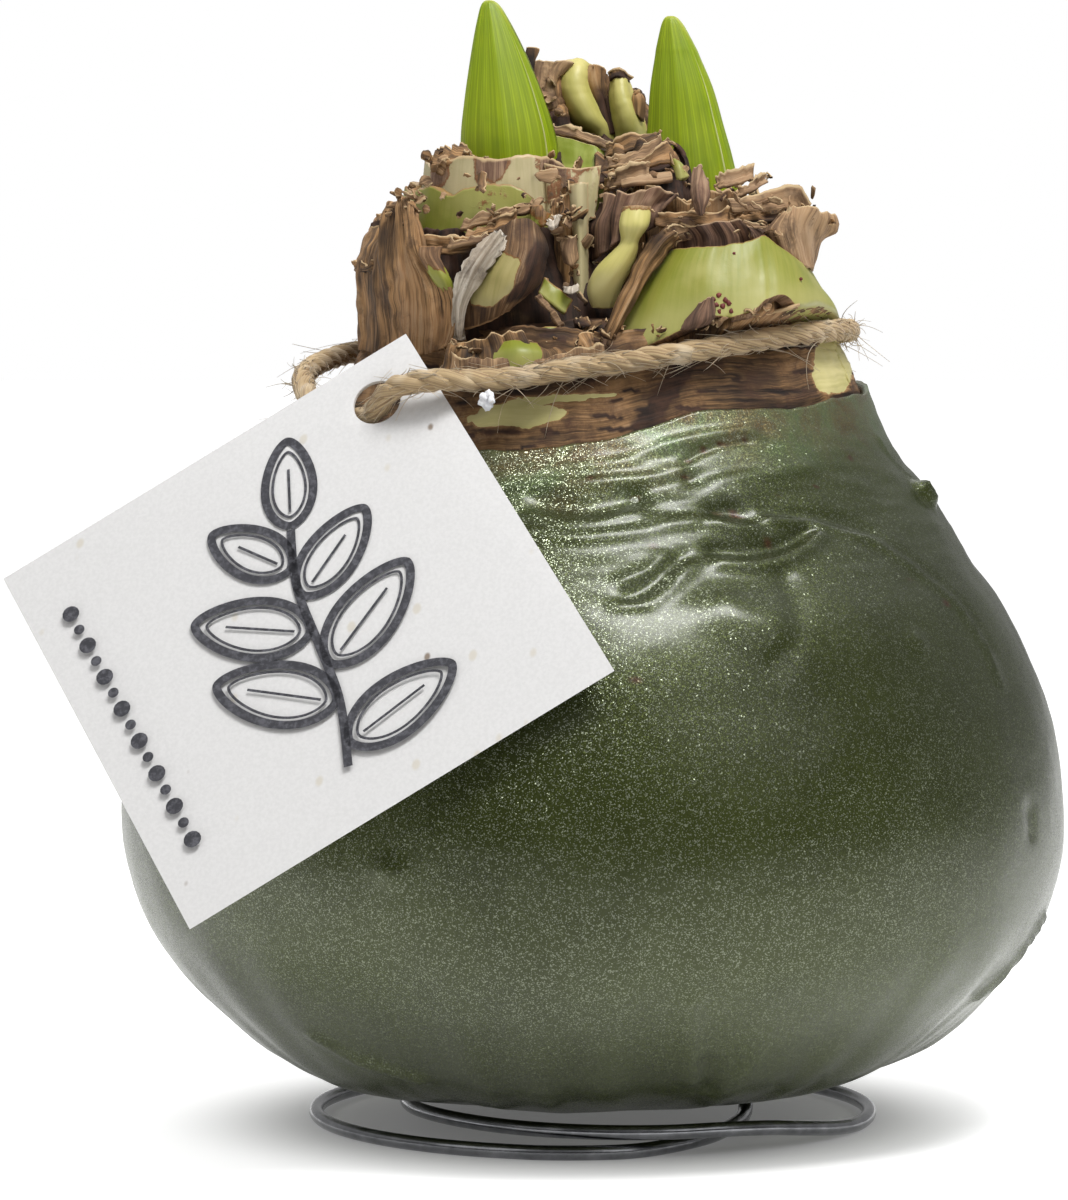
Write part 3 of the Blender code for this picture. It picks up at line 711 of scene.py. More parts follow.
def shareAtHeight(outline, height, low=0.5, high=1.0):
    # how far along an outline a height is reached, sought between two shares
    for _ in range(30):
        middle = (low + high) / 2
        if splineAt(outline, middle)[1] < height:
            low = middle
        else:
            high = middle
    return low


def waxEdge(turn):
    across = 30.0 * math.cos(turn)
    ragged = 0.5 * math.sin(5 * turn + 1.0) + 0.35 * math.sin(9 * turn)
    ragged += 0.35 * rough(math.cos(turn) * 6.0, math.sin(turn) * 6.0, 4.0)
    ragged += 0.2 * rough(math.cos(turn) * 17.0, math.sin(turn) * 17.0, 9.0)
    return wax["edgeHeight"] + wax["edgeSlope"] * across + ragged


def evenShares(outline, end, count):
    # places along the outline with even spacing, closer together on the shoulder
    fine = 400
    places = [end * i / fine for i in range(fine + 1)]
    points = [splineAt(outline, place) for place in places]
    length = [0.0]
    for a, b in zip(points, points[1:]):
        step = math.hypot(b[0] - a[0], b[1] - a[1])
        dense = 1.0 + 0.9 * smoothStep(b[1], 50.0, 60.0) - 0.35 * (1.0 - smoothStep(b[1], 4.0, 9.0))
        length.append(length[-1] + step * dense)
    result = []
    index = 0
    for i in range(count + 1):
        wanted = length[-1] * i / count
        while index < fine - 1 and length[index + 1] < wanted:
            index += 1
        share = (wanted - length[index]) / max(length[index + 1] - length[index], 1e-9)
        result.append(mixed(places[index], places[index + 1], share))
    return result


def waxSide(bm, columns, rows, outline, drop):
    # a ball with its top opened, its points moved onto the outline
    before = set(bm.verts)
    made = bmesh.ops.create_uvsphere(bm, u_segments=columns, v_segments=rows + 1, radius=1.0)["verts"]
    top = max(made, key=lambda vert: vert.co.z)
    bmesh.ops.delete(bm, geom=[top], context="VERTS")
    shares = {}
    side = [vert for vert in bm.verts if vert not in before]
    for vert in side:
        turn = math.atan2(vert.co.y, vert.co.x)
        row = latitude(vert) * (rows + 1)
        column = round(turn / (2 * math.pi) * columns) % columns
        if column not in shares:
            shares[column] = evenShares(outline, shareAtHeight(outline, waxEdge(turn) - drop), rows)
        radius, height = splineAt(outline, shares[column][min(round(row), rows)])
        vert.co = skinPoint(turn, radius, height)
    return side


waxMarks = [  # what it is, the places it runs through (turn, height), its half width, how far it stands out
    ("lens dent", [(-100.5, 69.6), (-96.2, 69.2), (-92.8, 69.0), (-88.8, 69.4), (-85.1, 69.9)], 1.5, -0.75),
    ("lens lip", [(-101.5, 68.1), (-96.2, 67.4), (-92.8, 67.2), (-88.8, 67.6), (-84.6, 68.5)], 0.8, 0.4),
    ("wrinkle", [(-108.6, 72.1), (-97.9, 72.9), (-87.0, 73.5), (-73.4, 75.8), (-60.4, 76.6)], 0.9, 0.45),
    ("wrinkle", [(-112.0, 70.4), (-104.0, 71.2), (-93.0, 71.4), (-84.0, 71.6), (-76.0, 72.4)], 0.9, 0.4),
    ("wrinkle", [(-103.4, 66.4), (-93.5, 65.9), (-83.9, 66.6), (-75.2, 67.4)], 1.0, 0.35),
    ("wrinkle", [(-70.0, 71.4), (-60.0, 72.2), (-50.0, 72.6)], 0.9, 0.3),
    ("crack", [(-75.2, 73.5), (-71.8, 74.5), (-67.5, 75.3), (-61.3, 75.7)], 0.45, -0.4),
    ("pit", [(-74.9, 72.1), (-74.5, 71.8)], 0.5, -0.5),
    ("pit", [(-84.6, 70.4), (-84.1, 70.2)], 0.5, -0.4),
    ("pit", [(-70.3, 68.7), (-67.5, 68.4), (-66.1, 68.0)], 1.3, -0.85),
    ("pit lip", [(-71.5, 67.2), (-68.5, 66.5), (-65.5, 66.6)], 0.8, 0.55),
    ("fold", [(-72.4, 64.8), (-67.6, 64.4), (-63.1, 64.8), (-59.1, 65.3), (-54.8, 66.4)], 0.9, -0.8),
    ("fold lip", [(-72.4, 63.2), (-67.3, 62.7), (-61.7, 63.3), (-56.0, 64.7), (-53.6, 65.8)], 0.9, 0.6),
    ("run", [(-62.0, 67.4), (-52.8, 66.8), (-43.3, 65.2), (-37.1, 62.2), (-30.5, 57.8), (-27.9, 53.1),
             (-27.7, 49.7)], 0.6, 0.45),
    ("run foot", [(-62.0, 68.4), (-52.8, 67.9), (-42.3, 66.3), (-35.7, 63.2), (-29.0, 58.6), (-26.2, 53.6)],
     0.8, -0.3),
    ("rim dent", [(-86.2, 60.1), (-83.8, 60.9), (-81.3, 62.2), (-78.3, 64.0)], 0.9, -0.55),
    ("dent lip", [(-87.4, 59.2), (-83.6, 59.3), (-80.2, 60.8), (-77.0, 63.0)], 0.8, 0.4),
    ("dent lip", [(-86.8, 61.6), (-83.2, 62.6), (-80.4, 64.0)], 0.8, 0.35),
    ("bulge", [(-72.6, 58.6), (-69.9, 57.5), (-67.0, 56.6)], 3.4, 0.95),
    ("bulge foot", [(-62.6, 61.5), (-63.0, 59.0), (-64.4, 55.6), (-67.4, 53.4)], 1.3, -0.45),
    ("bump", [(-44.5, 55.0), (-44.0, 54.7)], 1.2, 0.5),
    ("bump", [(-114.7, 32.4), (-113.9, 32.1)], 1.5, 0.6),
    ("nub", [(-15.6, 69.9), (-14.0, 68.8)], 0.95, 1.7),
    ("dent", [(-27.3, 36.2), (-27.3, 34.0)], 1.1, -0.5),
    ("flange", [(-18.6, 15.6), (-17.8, 18.1), (-16.5, 20.9), (-13.6, 23.5)], 0.9, 0.8),
    ("ridge", [(-78.5, 19.0), (-77.5, 15.2), (-76.2, 12.5), (-74.2, 9.1)], 1.1, 0.7),
    ("crease", [(-70.0, 7.4), (-71.4, 9.2), (-73.4, 11.6)], 0.7, -0.6),
    ("drip", [(-128.6, 10.6), (-125.1, 9.9), (-120.4, 9.1)], 0.9, 0.8),
    ("drip", [(-134.0, 13.4), (-131.5, 11.8), (-130.4, 10.6)], 0.7, 0.5),
    ("tip", [(-18.0, 75.4), (-14.0, 72.1), (-16.6, 68.9)], 0.6, 0.3),
    ("back fold", [(48.0, 66.4), (60.0, 65.0), (72.0, 64.6), (85.0, 65.8), (96.0, 68.2)], 0.9, -0.7),
    ("back lip", [(48.0, 64.6), (60.0, 63.2), (72.0, 62.8), (85.0, 64.0), (96.0, 66.6)], 1.0, 0.55),
    ("back run", [(118.0, 66.0), (124.0, 60.0), (127.0, 52.0), (128.0, 44.0)], 0.7, 0.45),
    ("back wrinkle", [(104.0, 71.2), (118.0, 72.0), (134.0, 71.0), (150.0, 71.8)], 0.9, 0.4),
    ("side dent", [(168.0, 58.0), (174.0, 60.0), (-180.0, 61.2)], 1.2, -0.6),
    ("side lip", [(166.0, 56.6), (173.0, 58.0), (-179.0, 59.4)], 0.9, 0.4),
    ("side run", [(10.0, 66.0), (14.0, 58.0), (15.5, 48.0), (14.5, 38.0)], 0.7, 0.4),
    ("side bump", [(30.0, 50.0), (31.0, 49.6)], 1.5, 0.6),
    ("back bump", [(150.0, 38.0), (151.0, 37.6)], 1.6, 0.6),
]
waxSpecks = [  # brown bits caught in the wax: turn, height, size
    (-70.3, 68.6, 0.45), (-67.5, 68.5, 0.6), (-66.0, 68.2, 0.4), (-92.3, 71.7, 0.5), (-63.1, 65.4, 0.5),
    (-82.4, 65.1, 0.35), (-49.3, 70.7, 0.3), (-36.3, 73.7, 0.5), (-58.0, 69.8, 0.35), (-33.6, 58.5, 0.5),
    (-39.1, 61.1, 0.25), (-85.5, 51.9, 0.3), (-74.6, 73.7, 0.45), (-71.0, 74.8, 0.4), (-67.0, 75.4, 0.5),
    (-62.0, 75.8, 0.4), (-74.9, 72.1, 0.45), (-84.4, 70.3, 0.4), (-118.0, 66.0, 0.4), (60.0, 70.0, 0.5),
    (84.0, 66.4, 0.6), (120.0, 70.4, 0.5), (150.0, 62.0, 0.4), (20.0, 72.0, 0.5), (176.0, 68.0, 0.5),
]


def onWax(turn, height):
    span = (0.5, 1.0) if height > 26.0 else (0.15, 0.6)
    share = shareAtHeight(wax["outline"], height, *span)
    return skinPoint(math.radians(turn), splineAt(wax["outline"], share)[0], height)


def distanceToLine(point, line):
    best = 1e9
    for a, b in zip(line, line[1:]):
        span = b - a
        share = min(1.0, max(0.0, (point - a).dot(span) / span.length_squared))
        best = min(best, (point - a - span * share).length_squared)
    return math.sqrt(best)


def waxRelief(point):
    # the uneven skin that dipping leaves: slow swells, level wrinkles on the shoulder, runs below
    turn = math.atan2(point.y, point.x)
    height = point.z
    swell = 0.32 * rough(point.x * 0.055, point.y * 0.055, point.z * 0.06)
    swell += 0.1 * rough(point.x * 0.16, point.y * 0.16, point.z * 0.15 + 5.0)
    shoulder = smoothStep(height, 58.0, 66.0) * (1.0 - 0.6 * smoothStep(height, 75.0, 79.0))
    wrinkle = rough(math.cos(turn) * 3.1, math.sin(turn) * 3.1, height * 0.42 + math.sin(3 * turn) * 0.6)
    wrinkle += 0.5 * rough(math.cos(turn) * 6.5, math.sin(turn) * 6.5, height * 0.95)
    lower = 1.0 - smoothStep(height, 8.0, 30.0)
    runs = rough(math.cos(turn) * 9.0, math.sin(turn) * 9.0, height * 0.03)
    fine = 0.035 * rough(point.x * 0.6, point.y * 0.6, point.z * 0.6)
    return swell * 1.25 + shoulder * 0.26 * wrinkle + lower * 0.62 * runs + fine


def makeWax():
    bm = bmesh.new()
    thin = bm.verts.layers.float.new("thin")
    speck = bm.verts.layers.float.new("speck")
    bits = [(onWax(turn, height), size) for turn, height, size in waxSpecks]
    outer = waxSide(bm, wax["columns"], wax["rows"], wax["outline"], 0.0)
    bm.normal_update()
    lines = []
    for _, places, width, out in waxMarks:
        line = [onWax(turn, height) for turn, height in places]
        low = Vector(min(p[i] for p in line) - 3 * width for i in range(3))
        high = Vector(max(p[i] for p in line) + 3 * width for i in range(3))
        lines.append((line, width, out, low, high))
    moves = []
    for vert in outer:
        point = vert.co.copy()
        out = waxRelief(point)
        for line, width, depth, low, high in lines:
            if all(low[i] < point[i] < high[i] for i in range(3)):
                out += wax["markDepth"] * depth * bell(distanceToLine(point, line), width)
        below = waxEdge(math.atan2(point.y, point.x - wax["neckShift"])) - point.z
        fade = smoothStep(below, 0.0, 2.5)
        foot = smoothStep(point.z, 3.4, 6.0)
        moves.append((vert, vert.normal * out * mixed(0.2, 1.0, fade) * foot))
        vert[thin] = 1.0 - smoothStep(below, 0.0, 9.0)
        vert[speck] = max(
            1.0 - smoothStep((point - place).length, size * 0.5, size * 1.1) for place, size in bits
        )
    for vert, move in moves:
        vert.co += move
        vert.co.z = max(vert.co.z, wax["footHeight"])
    inside = insetOutline(wax["outline"], wax["wall"])
    atEdge = insetOutline(wax["outline"], wax["edgeWall"])
    tapered = []
    for (_, height), thick, slim in zip(wax["outline"], inside, atEdge):
        share = smoothStep(height, 58.0, 74.0)
        tapered.append(tuple(mixed(a, b, share) for a, b in zip(thick, slim)))
    inner = waxSide(bm, wax["innerColumns"], wax["innerRows"], tapered, 0.25)
    bmesh.ops.reverse_faces(bm, faces=list(facesOf(inner)))
    rims = [edge for edge in bm.edges if edge.is_boundary]
    bmesh.ops.bridge_loops(bm, edges=rims)
    finished("waxCoat", bm, waxFinish(), ["wax_coat"])


def waxFinish():
    skin = Finish("glitterWax")
    point = skin.place()
    thin = skin.attribute("thin")
    brown = skin.attribute("speck")
    cloud = skin.grain(point, 30.0, 5.0, 0.62)
    streak = skin.grain(skin.stretched(point, (70.0, 70.0, 14.0)), 1.0, 3.0, 0.6)
    body = skin.ramp(skin.between(cloud, 0.32, 0.68), [(0.0, srgb(42, 48, 12)), (1.0, srgb(54, 61, 22))])
    body = skin.blend(skin.between(streak, 0.5, 0.75) * 0.3, body, srgb(58, 65, 32))
    patch = skin.grain(point, 90.0, 5.0, 0.65, 0.6)
    beneath = skin.ramp(skin.between(patch, 0.36, 0.64), [
        (0.0, srgb(92, 72, 46)), (0.45, srgb(98, 98, 66)), (1.0, srgb(92, 108, 70)),
    ])
    body = skin.blend((thin * 0.85).held(), body, beneath)
    sparks = []  # glitter: two sizes of grain, of which a few are bright
    for scale, share in ((10500.0, 0.86), (6400.0, 0.975)):
        cells = skin.cells(point, scale, "Color")
        pick = skin.node("ShaderNodeSeparateColor", {}, {0: cells})
        sparks.append((cells, pick.above(share)))
    bright = (sparks[0][1] + sparks[1][1]).held()
    # Painted shade: the glitter is brighter higher up, from about half strength at the bottom to full above 56
    # mm, which darkens the coat's lower part.
    high = skin.between(skin.node("ShaderNodeSeparateXYZ", {}, {0: point}, output="Z"), 0.0, 0.056)
    body = skin.blend(bright * (high * 0.26 + 0.27), body, srgb(160, 166, 146))
    body = skin.blend(brown, body, srgb(66, 40, 24))
    tilt = skin.vector("SUBTRACT", {0: sparks[0][0], 1: (0.5, 0.5, 0.5)})
    tilt = skin.vector("SCALE", {0: tilt, "Scale": 0.6})
    normal = skin.bump(skin.grain(point, 420.0, 2.0), 0.15, 0.1)
    turned = skin.vector("NORMALIZE", {0: skin.vector("ADD", {0: normal, 1: tilt})})
    skin.set(Base_Color=body, Metallic=mixedSignal(bright, 0.45, 0.95), Roughness=0.36, Normal=turned)
    skin.set(Coat_Weight=0.6, Coat_Roughness=0.27, Specular_IOR_Level=0.3, Specular_Tint=(0.28, 0.3, 0.22))
    return skin.material


makeWax()
print("wax coat made")


# Neck: leaf bases and tunics

leftNose = (-8.8, -1.0)
rightNose = (10.6, 0.4)
neckMiddle = (1.0, 0.0)
neck = {
    "cell": 0.36,  # size of a sheet's quads
    "foot": 87.2,  # where most leaf bases start
    "seatGap": 0.3,
    "tuck": 1.2,
    "tunicGap": 0.65,
    "trunkShoulder": 86.8,
    "trunk": [(27.6, 79.0), (26.6, 82.0), (25.5, 84.6), (23.9, 87.0), (21.5, 88.4), (12.0, 88.8), (0.0, 88.8)],
    "trunkInset": 2.8,
}
groove = {"depth": 1.25, "halfHeight": 3.0, "flare": 2.6, "flareFrom": 0.6, "flareTo": 3.4}
# How a sheet's surface is worked: folds and fibres are mm in and out, torn is mm off its rim
looks = {
    "flesh": {"folds": 0.3, "foldCount": 3.0, "fibres": 0.03, "torn": 0.45, "dry": (0.0, 0.3), "stain": 0.35,
              "dark": 0.0, "rim": 0.35, "wall": 1.3, "curl": 0.0, "cream": 0.55, "sideRim": 0.45},
    "dry": {"folds": 0.5, "foldCount": 5.0, "fibres": 0.11, "torn": 1.3, "dry": (1.0, 1.0), "stain": 0.2,
            "dark": 0.3, "rim": 0.3, "wall": 0.26, "curl": 0.5},
}


# Paints: each gets a place on its sheet, 0 to 1 across and up, the dry, dark and rim that the sheet
# has worked out there, and the point itself, and gives dry, dark and rim

def stainedInner(u, v, dry, dark, rim, point):
    # pale lobes between brown stains that hang from the rim
    lobes = 0.5 + 0.5 * math.sin(u * 33.0 + 0.8) + 0.5 * rough(u * 9.0, v * 2.0, 4.0)
    stain = smoothStep(v, 0.8, 0.97) * (0.9 - 0.9 * lobes) + 0.3 * rough(u * 12.0, v * 4.0, 8.0)
    return stain + 0.16, 0.0, rim


def shieldPaint(u, v, dry, dark, rim, point):
    # a yellow-green heart in a brown ring, nearly black on its right side
    heart = math.hypot((u - 0.36) / 0.34, (v - 0.47) / 0.36) + 0.25 * rough(u * 5.0, v * 5.0, 2.0)
    dryness = smoothStep(heart, 0.62, 1.0)
    shade = smoothStep(u + 0.2 * rough(u * 4.0, v * 4.0), 0.56, 0.72) * (1.0 - 0.7 * smoothStep(v, 0.72, 0.95))
    shade *= smoothStep(v, 0.06, 0.2)
    return dryness, shade * 0.95, smoothStep(v, 0.07, 0.0) * 0.9


def lobePaint(u, v, dry, dark, rim, point):
    # purple-brown at the lower left, pale towards the top
    corner = smoothStep(0.62 - u * 0.8 - v * 1.5 + 0.3 * rough(u * 6.0, v * 6.0), 0.0, 0.5)
    return dry, 0.75 * corner + 0.15 * max(0.0, rough(u * 14.0, v * 2.0, 3.0)), rim


def flapPaint(u, v, dry, dark, rim, point):
    return smoothStep(v + 0.15 * rough(u * 6.0, v * 6.0), 0.42, 0.6), dark, rim


def fleshPaint(u, v, dry, dark, rim, point):
    # fresh all over, browned only along its torn foot and rim
    foot = smoothStep(0.05 + 0.03 * rough(u * 14.0, 3.0) - v, 0.0, 0.05)
    top = smoothStep(v, 0.965, 1.0) * (0.5 + 0.5 * rough(u * 9.0, 6.0))
    return max(foot, top) * 0.8, 0.0, rim


def shadowPaint(u, v, dry, dark, rim, point):
    return 1.0, 0.9 + 0.2 * rough(u * 5.0, v * 5.0), 0.0


def bandPaint(u, v, dry, dark, rim, point):
    # the trunk's tunic, torn open in places where pale flesh shows
    px, py = pictured(point)
    grain = 0.16 * rough(px * 0.05, py * 0.1) + 0.1 * rough(px * 0.2, py * 0.3)
    bare = 0.0
    if point.y < 4.0:
        for x, y, wide, tall in ((516, 416, 52, 15), (833, 366, 22, 34), (560, 398, 60, 4)):
            reach = math.hypot((px - x) / wide, (py - y - (x - px) * 0.05) / tall) + grain
            bare = max(bare, 1.0 - smoothStep(reach, 0.7, 1.15))
    else:
        bare = smoothStep(rough(point.x * 0.11, point.y * 0.11, point.z * 0.3) + grain, 0.3, 0.4)
    crack = smoothStep(rough(px * 0.03, py * 0.16, 4.0), 0.3, 0.42) * 0.8
    if point.y < 4.0:
        crack = max(crack, 0.7 - 0.7 * smoothStep(abs(px - 662.0 + (py - 400.0) * 0.7) + 30.0 * grain, 3.0, 16.0))
        bare -= 0.9 * (1.0 - smoothStep(math.hypot((px - 500.0) / 26.0, (py - 430.0) / 4.0), 0.6, 1.2))
    return 1.0 - bare, (0.52 + crack) * (1.0 - bare), rim * 0.3


bandChange = {"paint": bandPaint, "across": True, "folds": 0.25, "foldCount": 3.0, "fibres": 0.07, "torn": 0.4,
              "dark": 0.2}
plates = [
    dict(name="leafBaseLeftInner", node="leaf_base_left_inner", look="flesh", nose=leftNose,
         radii=(9.9, 11.0), at=104.0, lean=-0.12, turn=(-36, -256), wall=1.5,
         change={"paint": stainedInner, "rim": 0.7}, skin="beige",
         rim=[101.5, 105.6, 106.4, 105.9, 106.3, 105.4, 105.8, 106.6, 106.4, 103.6, 98.4]),
    dict(name="leafBaseLeftOuter", node="leaf_base_left_outer", look="flesh", nose=leftNose,
         radii=(12.3, 13.6), at=102.0, lean=-0.14, turn=(-62, -248), wall=1.4,
         rim=[97.5, 102.3, 103.2, 102.6, 103.4, 103.0, 103.6, 103.8, 101.6, 96.8]),
    dict(name="leafBaseRightDry1", node="leaf_base_right_dry_1", look="dry", nose=rightNose, layers=2,
         radii=(9.7, 12.4), at=100.0, lean=-0.1, turn=(-150, 88), wall=0.6,
         rim=[100.0, 101.8, 101.0, 101.9, 100.9, 101.6, 101.2, 102.3, 101.4, 102.0, 101.0]),
    dict(name="leafBaseRightDry2", node="leaf_base_right_dry_2", look="dry", nose=rightNose, layers=2,
         radii=(8.5, 10.7), at=102.0, lean=-0.1, turn=(-160, 84), wall=0.6,
         rim=[102.6, 104.0, 103.0, 102.4, 103.0, 102.2, 102.8, 103.8, 103.0, 103.6, 102.6]),
    dict(name="leafBaseBackLeft", node="leaf_base_back_left", look="flesh", nose=neckMiddle,
         radii=(23.3, 22.1), at=92.0, lean=-0.12, turn=(131, 95), wall=1.4,
         rim=[96.0, 98.6, 100.2, 99.6, 98.8, 97.2]),
    dict(name="leafBaseBackRight", node="leaf_base_back_right", look="flesh", nose=neckMiddle,
         radii=(23.3, 22.1), at=92.0, lean=-0.12, turn=(88, 34), wall=1.6,
         rim=[96.6, 98.2, 98.6, 99.8, 98.6, 96.0]),
    dict(name="tunicBack", node="tunic_back", look="dry", nose=neckMiddle, layers=2,
         radii=(24.6, 23.4), at=92.0, lean=-0.12, turn=(136, 40), foot=85.5, wall=0.7,
         rim=[92.6, 94.4, 93.2, 94.9, 95.6, 94.2, 94.8, 93.0]),
]
for name, node, turn, rim in (
    ("neckTunicFront", "neck_tunic_front", (-16, -152),
     [87.6, 88.0, 87.5, 88.2, 87.8, 87.3, 88.0, 87.4, 88.1, 87.5]),
    ("neckTunicLeft", "neck_tunic_left", (-150, -266), [87.3, 87.9, 87.4, 88.1, 87.6, 87.2, 87.9, 87.4]),
    ("neckTunicRight", "neck_tunic_right", (96, -18), [87.6, 88.1, 87.5, 88.2, 87.7, 88.2, 87.4, 87.9]),
):
    plates.append(dict(name=name, node=node, look="dry", turn=turn, wall=0.7, onTrunk=True, rim=rim,
                       change=bandChange))
# Inner leaf bases that fill the cut neck, seen from above and between the others
fillers = [
    dict(name="innerLeafLeft1", look="flesh", nose=leftNose, radii=(7.9, 8.7), at=100.0, lean=-0.08,
         turn=(-20, -300), wall=0.8, rim=[100.5, 101.8, 101.2, 101.9, 101.4, 102.4, 101.6, 100.8]),
    dict(name="innerLeafLeft2", look="flesh", nose=leftNose, radii=(6.9, 6.6), at=100.0, lean=-0.04,
         turn=(40, -250), foot=96.3, wall=0.6, rim=[101.5, 102.8, 102.0, 102.6, 102.2, 103.0, 102.0]),
    dict(name="innerLeafRight1", look="flesh", nose=rightNose, radii=(6.6, 7.4), at=98.0, lean=-0.05,
         turn=(-200, 130), foot=95.4, wall=0.6, rim=[100.0, 101.0, 100.4, 101.2, 100.2, 101.0, 100.6]),
]


def bulbOutline():
    inside = insetOutline(wax["outline"], neck["trunkInset"])
    return [point for point in inside if point[1] < 75.0] + neck["trunk"]


trunkOutline = bulbOutline()
trunkRadii = {}


def trunkRadius(height):
    key = round(min(height, neck["trunkShoulder"]), 1)
    if key not in trunkRadii:
        place = shareAtHeight(trunkOutline, key)
        trunkRadii[key] = splineAt(trunkOutline, place)[0]
    return trunkRadii[key]


def plateSurface(plate, inward, rise):
    # an upright surface round a nose of the bulb, or on its trunk
    start, end = plate["turn"]

    def place(u, v):
        turn = math.radians(start + (end - start) * u)
        top = along(plate["rim"], u) + rise
        if plate.get("onTrunk"):
            height = mixed(waxEdge(turn) + neck["seatGap"] - neck["tuck"], top, v)
            return skinPoint(turn, trunkRadius(height) + neck["tunicGap"] + plate["wall"] - inward, height)
        height = mixed(plate.get("foot", neck["foot"]), top, v)
        grow = plate["lean"] * (height - plate["at"]) - inward
        rx, ry = plate["radii"]
        return Vector((plate["nose"][0] + (rx + grow) * math.cos(turn),
                       plate["nose"][1] + (ry + grow) * math.sin(turn), height))

    return place


twineRing = {}
for place in twinePath:
    if math.hypot(place.x, place.y) < 31.0:
        angle = round(math.degrees(math.atan2(place.y, place.x - neckMiddle[0])))
        twineRing.setdefault(angle, (math.hypot(place.x - neckMiddle[0], place.y), place.z))


def pinched(point):
    # the twine draws the tunics in, so that it lies in a groove
    angle = round(math.degrees(math.atan2(point.y, point.x - neckMiddle[0])))
    ring = next((twineRing[angle + step] for step in (0, 1, -1, 2, -2) if angle + step in twineRing), None)
    if ring is None or abs(point.z - ring[1]) > groove["halfHeight"]:
        return point
    reach = math.hypot(point.x - neckMiddle[0], point.y)
    flare = smoothStep(abs(point.z - ring[1]), groove["flareFrom"], groove["flareTo"])
    limit = ring[0] - groove["depth"] + groove["flare"] * flare
    if reach <= limit:
        return point
    share = limit / reach
    return Vector((neckMiddle[0] + (point.x - neckMiddle[0]) * share, point.y * share, point.z))


def netSurface(rows):
    # a surface through a net of points: rows from its foot up, each from left to right
    def place(u, v):
        return Vector(splineAt([splineAt(row, u) for row in rows], v))

    return place


def sheet(bm, surface, look, seed):
    # a grid laid on a surface, then folded, ribbed with fibres, torn along its rim and curled
    layers, uv = paintLayers(bm)
    wide = sum((surface((i + 1) / 12, 0.5) - surface(i / 12, 0.5)).length for i in range(12))
    tall = sum((surface(0.5, (i + 1) / 6) - surface(0.5, i / 6)).length for i in range(6))
    least = look.get("fewest", (8, 6))
    across = look.get("across", False)  # its fibres run level
    columns = max(least[0], round(wide / neck["cell"]))
    rows = max(least[1], round(tall / neck["cell"]))
    fresh = newGrid(bm, columns, rows)
    places = {}
    for vert in fresh:
        u = vert.co.x + 0.5
        v = vert.co.y + 0.5
        x = u * wide
        notch = abs(rough(x * 0.3, seed)) + 0.5 * abs(rough(x * 0.9, seed + 3.0))
        notch += 0.25 * abs(rough(x * 2.3, seed + 7.0))
        gash = max(0.0, rough(x * 0.24, seed + 11.0) - 0.22) * look.get("gashes", 3.0)
        cut = min(0.6, look["torn"] * (notch + gash) / max(tall, 1.0))
        footCut = min(0.4, look.get("tornFoot", 0.0) * notch / max(tall, 1.0))
        side = rough(v * tall * 0.6, seed + 21.0) + 0.6 * rough(v * tall * 2.0, seed)
        side = look.get("tornSide", 0.5) * side
        side = side / max(wide, 1.0) * smoothStep(abs(u - 0.5), 0.3, 0.5)
        vert.co = surface(min(1.0, max(0.0, mixed(u, 0.5, abs(side) * 1.6))), mixed(footCut, 1.0 - cut, v))
        places[vert] = (u, v)
    faces = facesOf(fresh)
    for face in faces:
        face.normal_update()
    for vert in fresh:
        vert.normal_update()
    moves = []
    paint = look.get("paint")
    for vert in fresh:
        u, v = places[vert]
        x, y = (v * tall, u * wide) if across else (u * wide, v * tall)
        fold = look["folds"] * rough(u * look["foldCount"] * 2.0, v * 1.3, seed) * mixed(0.4, 1.5, v)
        rib = rough(x * 1.1, y * 0.06, seed + 2.0) + 0.7 * rough(x * 2.6, y * 0.12, seed + 5.0)
        fibre = look["fibres"] * rib * 1.6
        crumple = look["fibres"] * 1.4 * rough(x * 0.5, y * 0.7, seed + 8.0)
        curl = look["curl"] * rough(u * wide * 0.16, seed + 13.0) * 3.0 * smoothStep(v, 0.6, 1.0) ** 1.5
        moves.append((vert, vert.normal * (fold + fibre + crumple + curl)))
        low, high = look["dry"]
        spot = rough(x * 0.2, y * 0.22, seed + 17.0) + 0.5 * rough(x * 0.6, y * 0.5, seed + 19.0)
        dryness = mixed(low, high, smoothStep(v, 0.25, 0.95)) + look["stain"] * spot
        # The dark share is blotchy and heavier towards the sheet's foot. It is also painted shade in the valleys
        # of its folds, fibres and crumples.
        shade = look["dark"] * (1.0 + 1.5 * rough(x * 0.13, y * 0.2, seed + 23.0)) * (1.0 - 0.6 * v)
        valley = (fold * 0.5 + fibre * 2.2 + crumple * 2.0) / (look["folds"] + 4.0 * look["fibres"] + 0.05)
        shade -= valley * min(1.0, look["dark"] * 2.0)
        band = look["rim"] / max(tall, 1.0) * (1.0 + 0.8 * rough(u * wide * 0.9, seed + 29.0))
        rim = smoothStep(v, 1.0 - band, 1.0)
        side = look.get("sideRim", 0.0) / max(wide, 1.0) * (1.0 + 0.8 * rough(v * tall * 0.9, seed + 31.0))
        rim = max(rim, smoothStep(abs(u - 0.5), 0.5 - side, 0.5)) if side > 0 else rim
        if paint:
            dryness, shade, rim = paint(u, v, dryness, shade, rim, vert.co)
        vert[layers["dry"]] = min(1.0, max(0.0, dryness))
        vert[layers["dark"]] = min(1.0, max(0.0, shade))
        vert[layers["rim"]] = min(1.0, max(0.0, rim))
        creamy = smoothStep(0.75 - v + 0.35 * rough(u * 3.0, v * 2.0, seed + 37.0), 0.0, 0.7)
        vert[layers["pale"]] = look.get("cream", 0.0) * creamy
    for vert, move in moves:
        vert.co = pinched(vert.co + move)
    for face in faces:
        for loop in face.loops:
            share = loop[uv].uv.copy()
            x, y = share.x * wide * 0.1, share.y * tall * 0.1
            loop[uv].uv = (y + seed * 0.37, x) if across else (x + seed * 0.37, y)


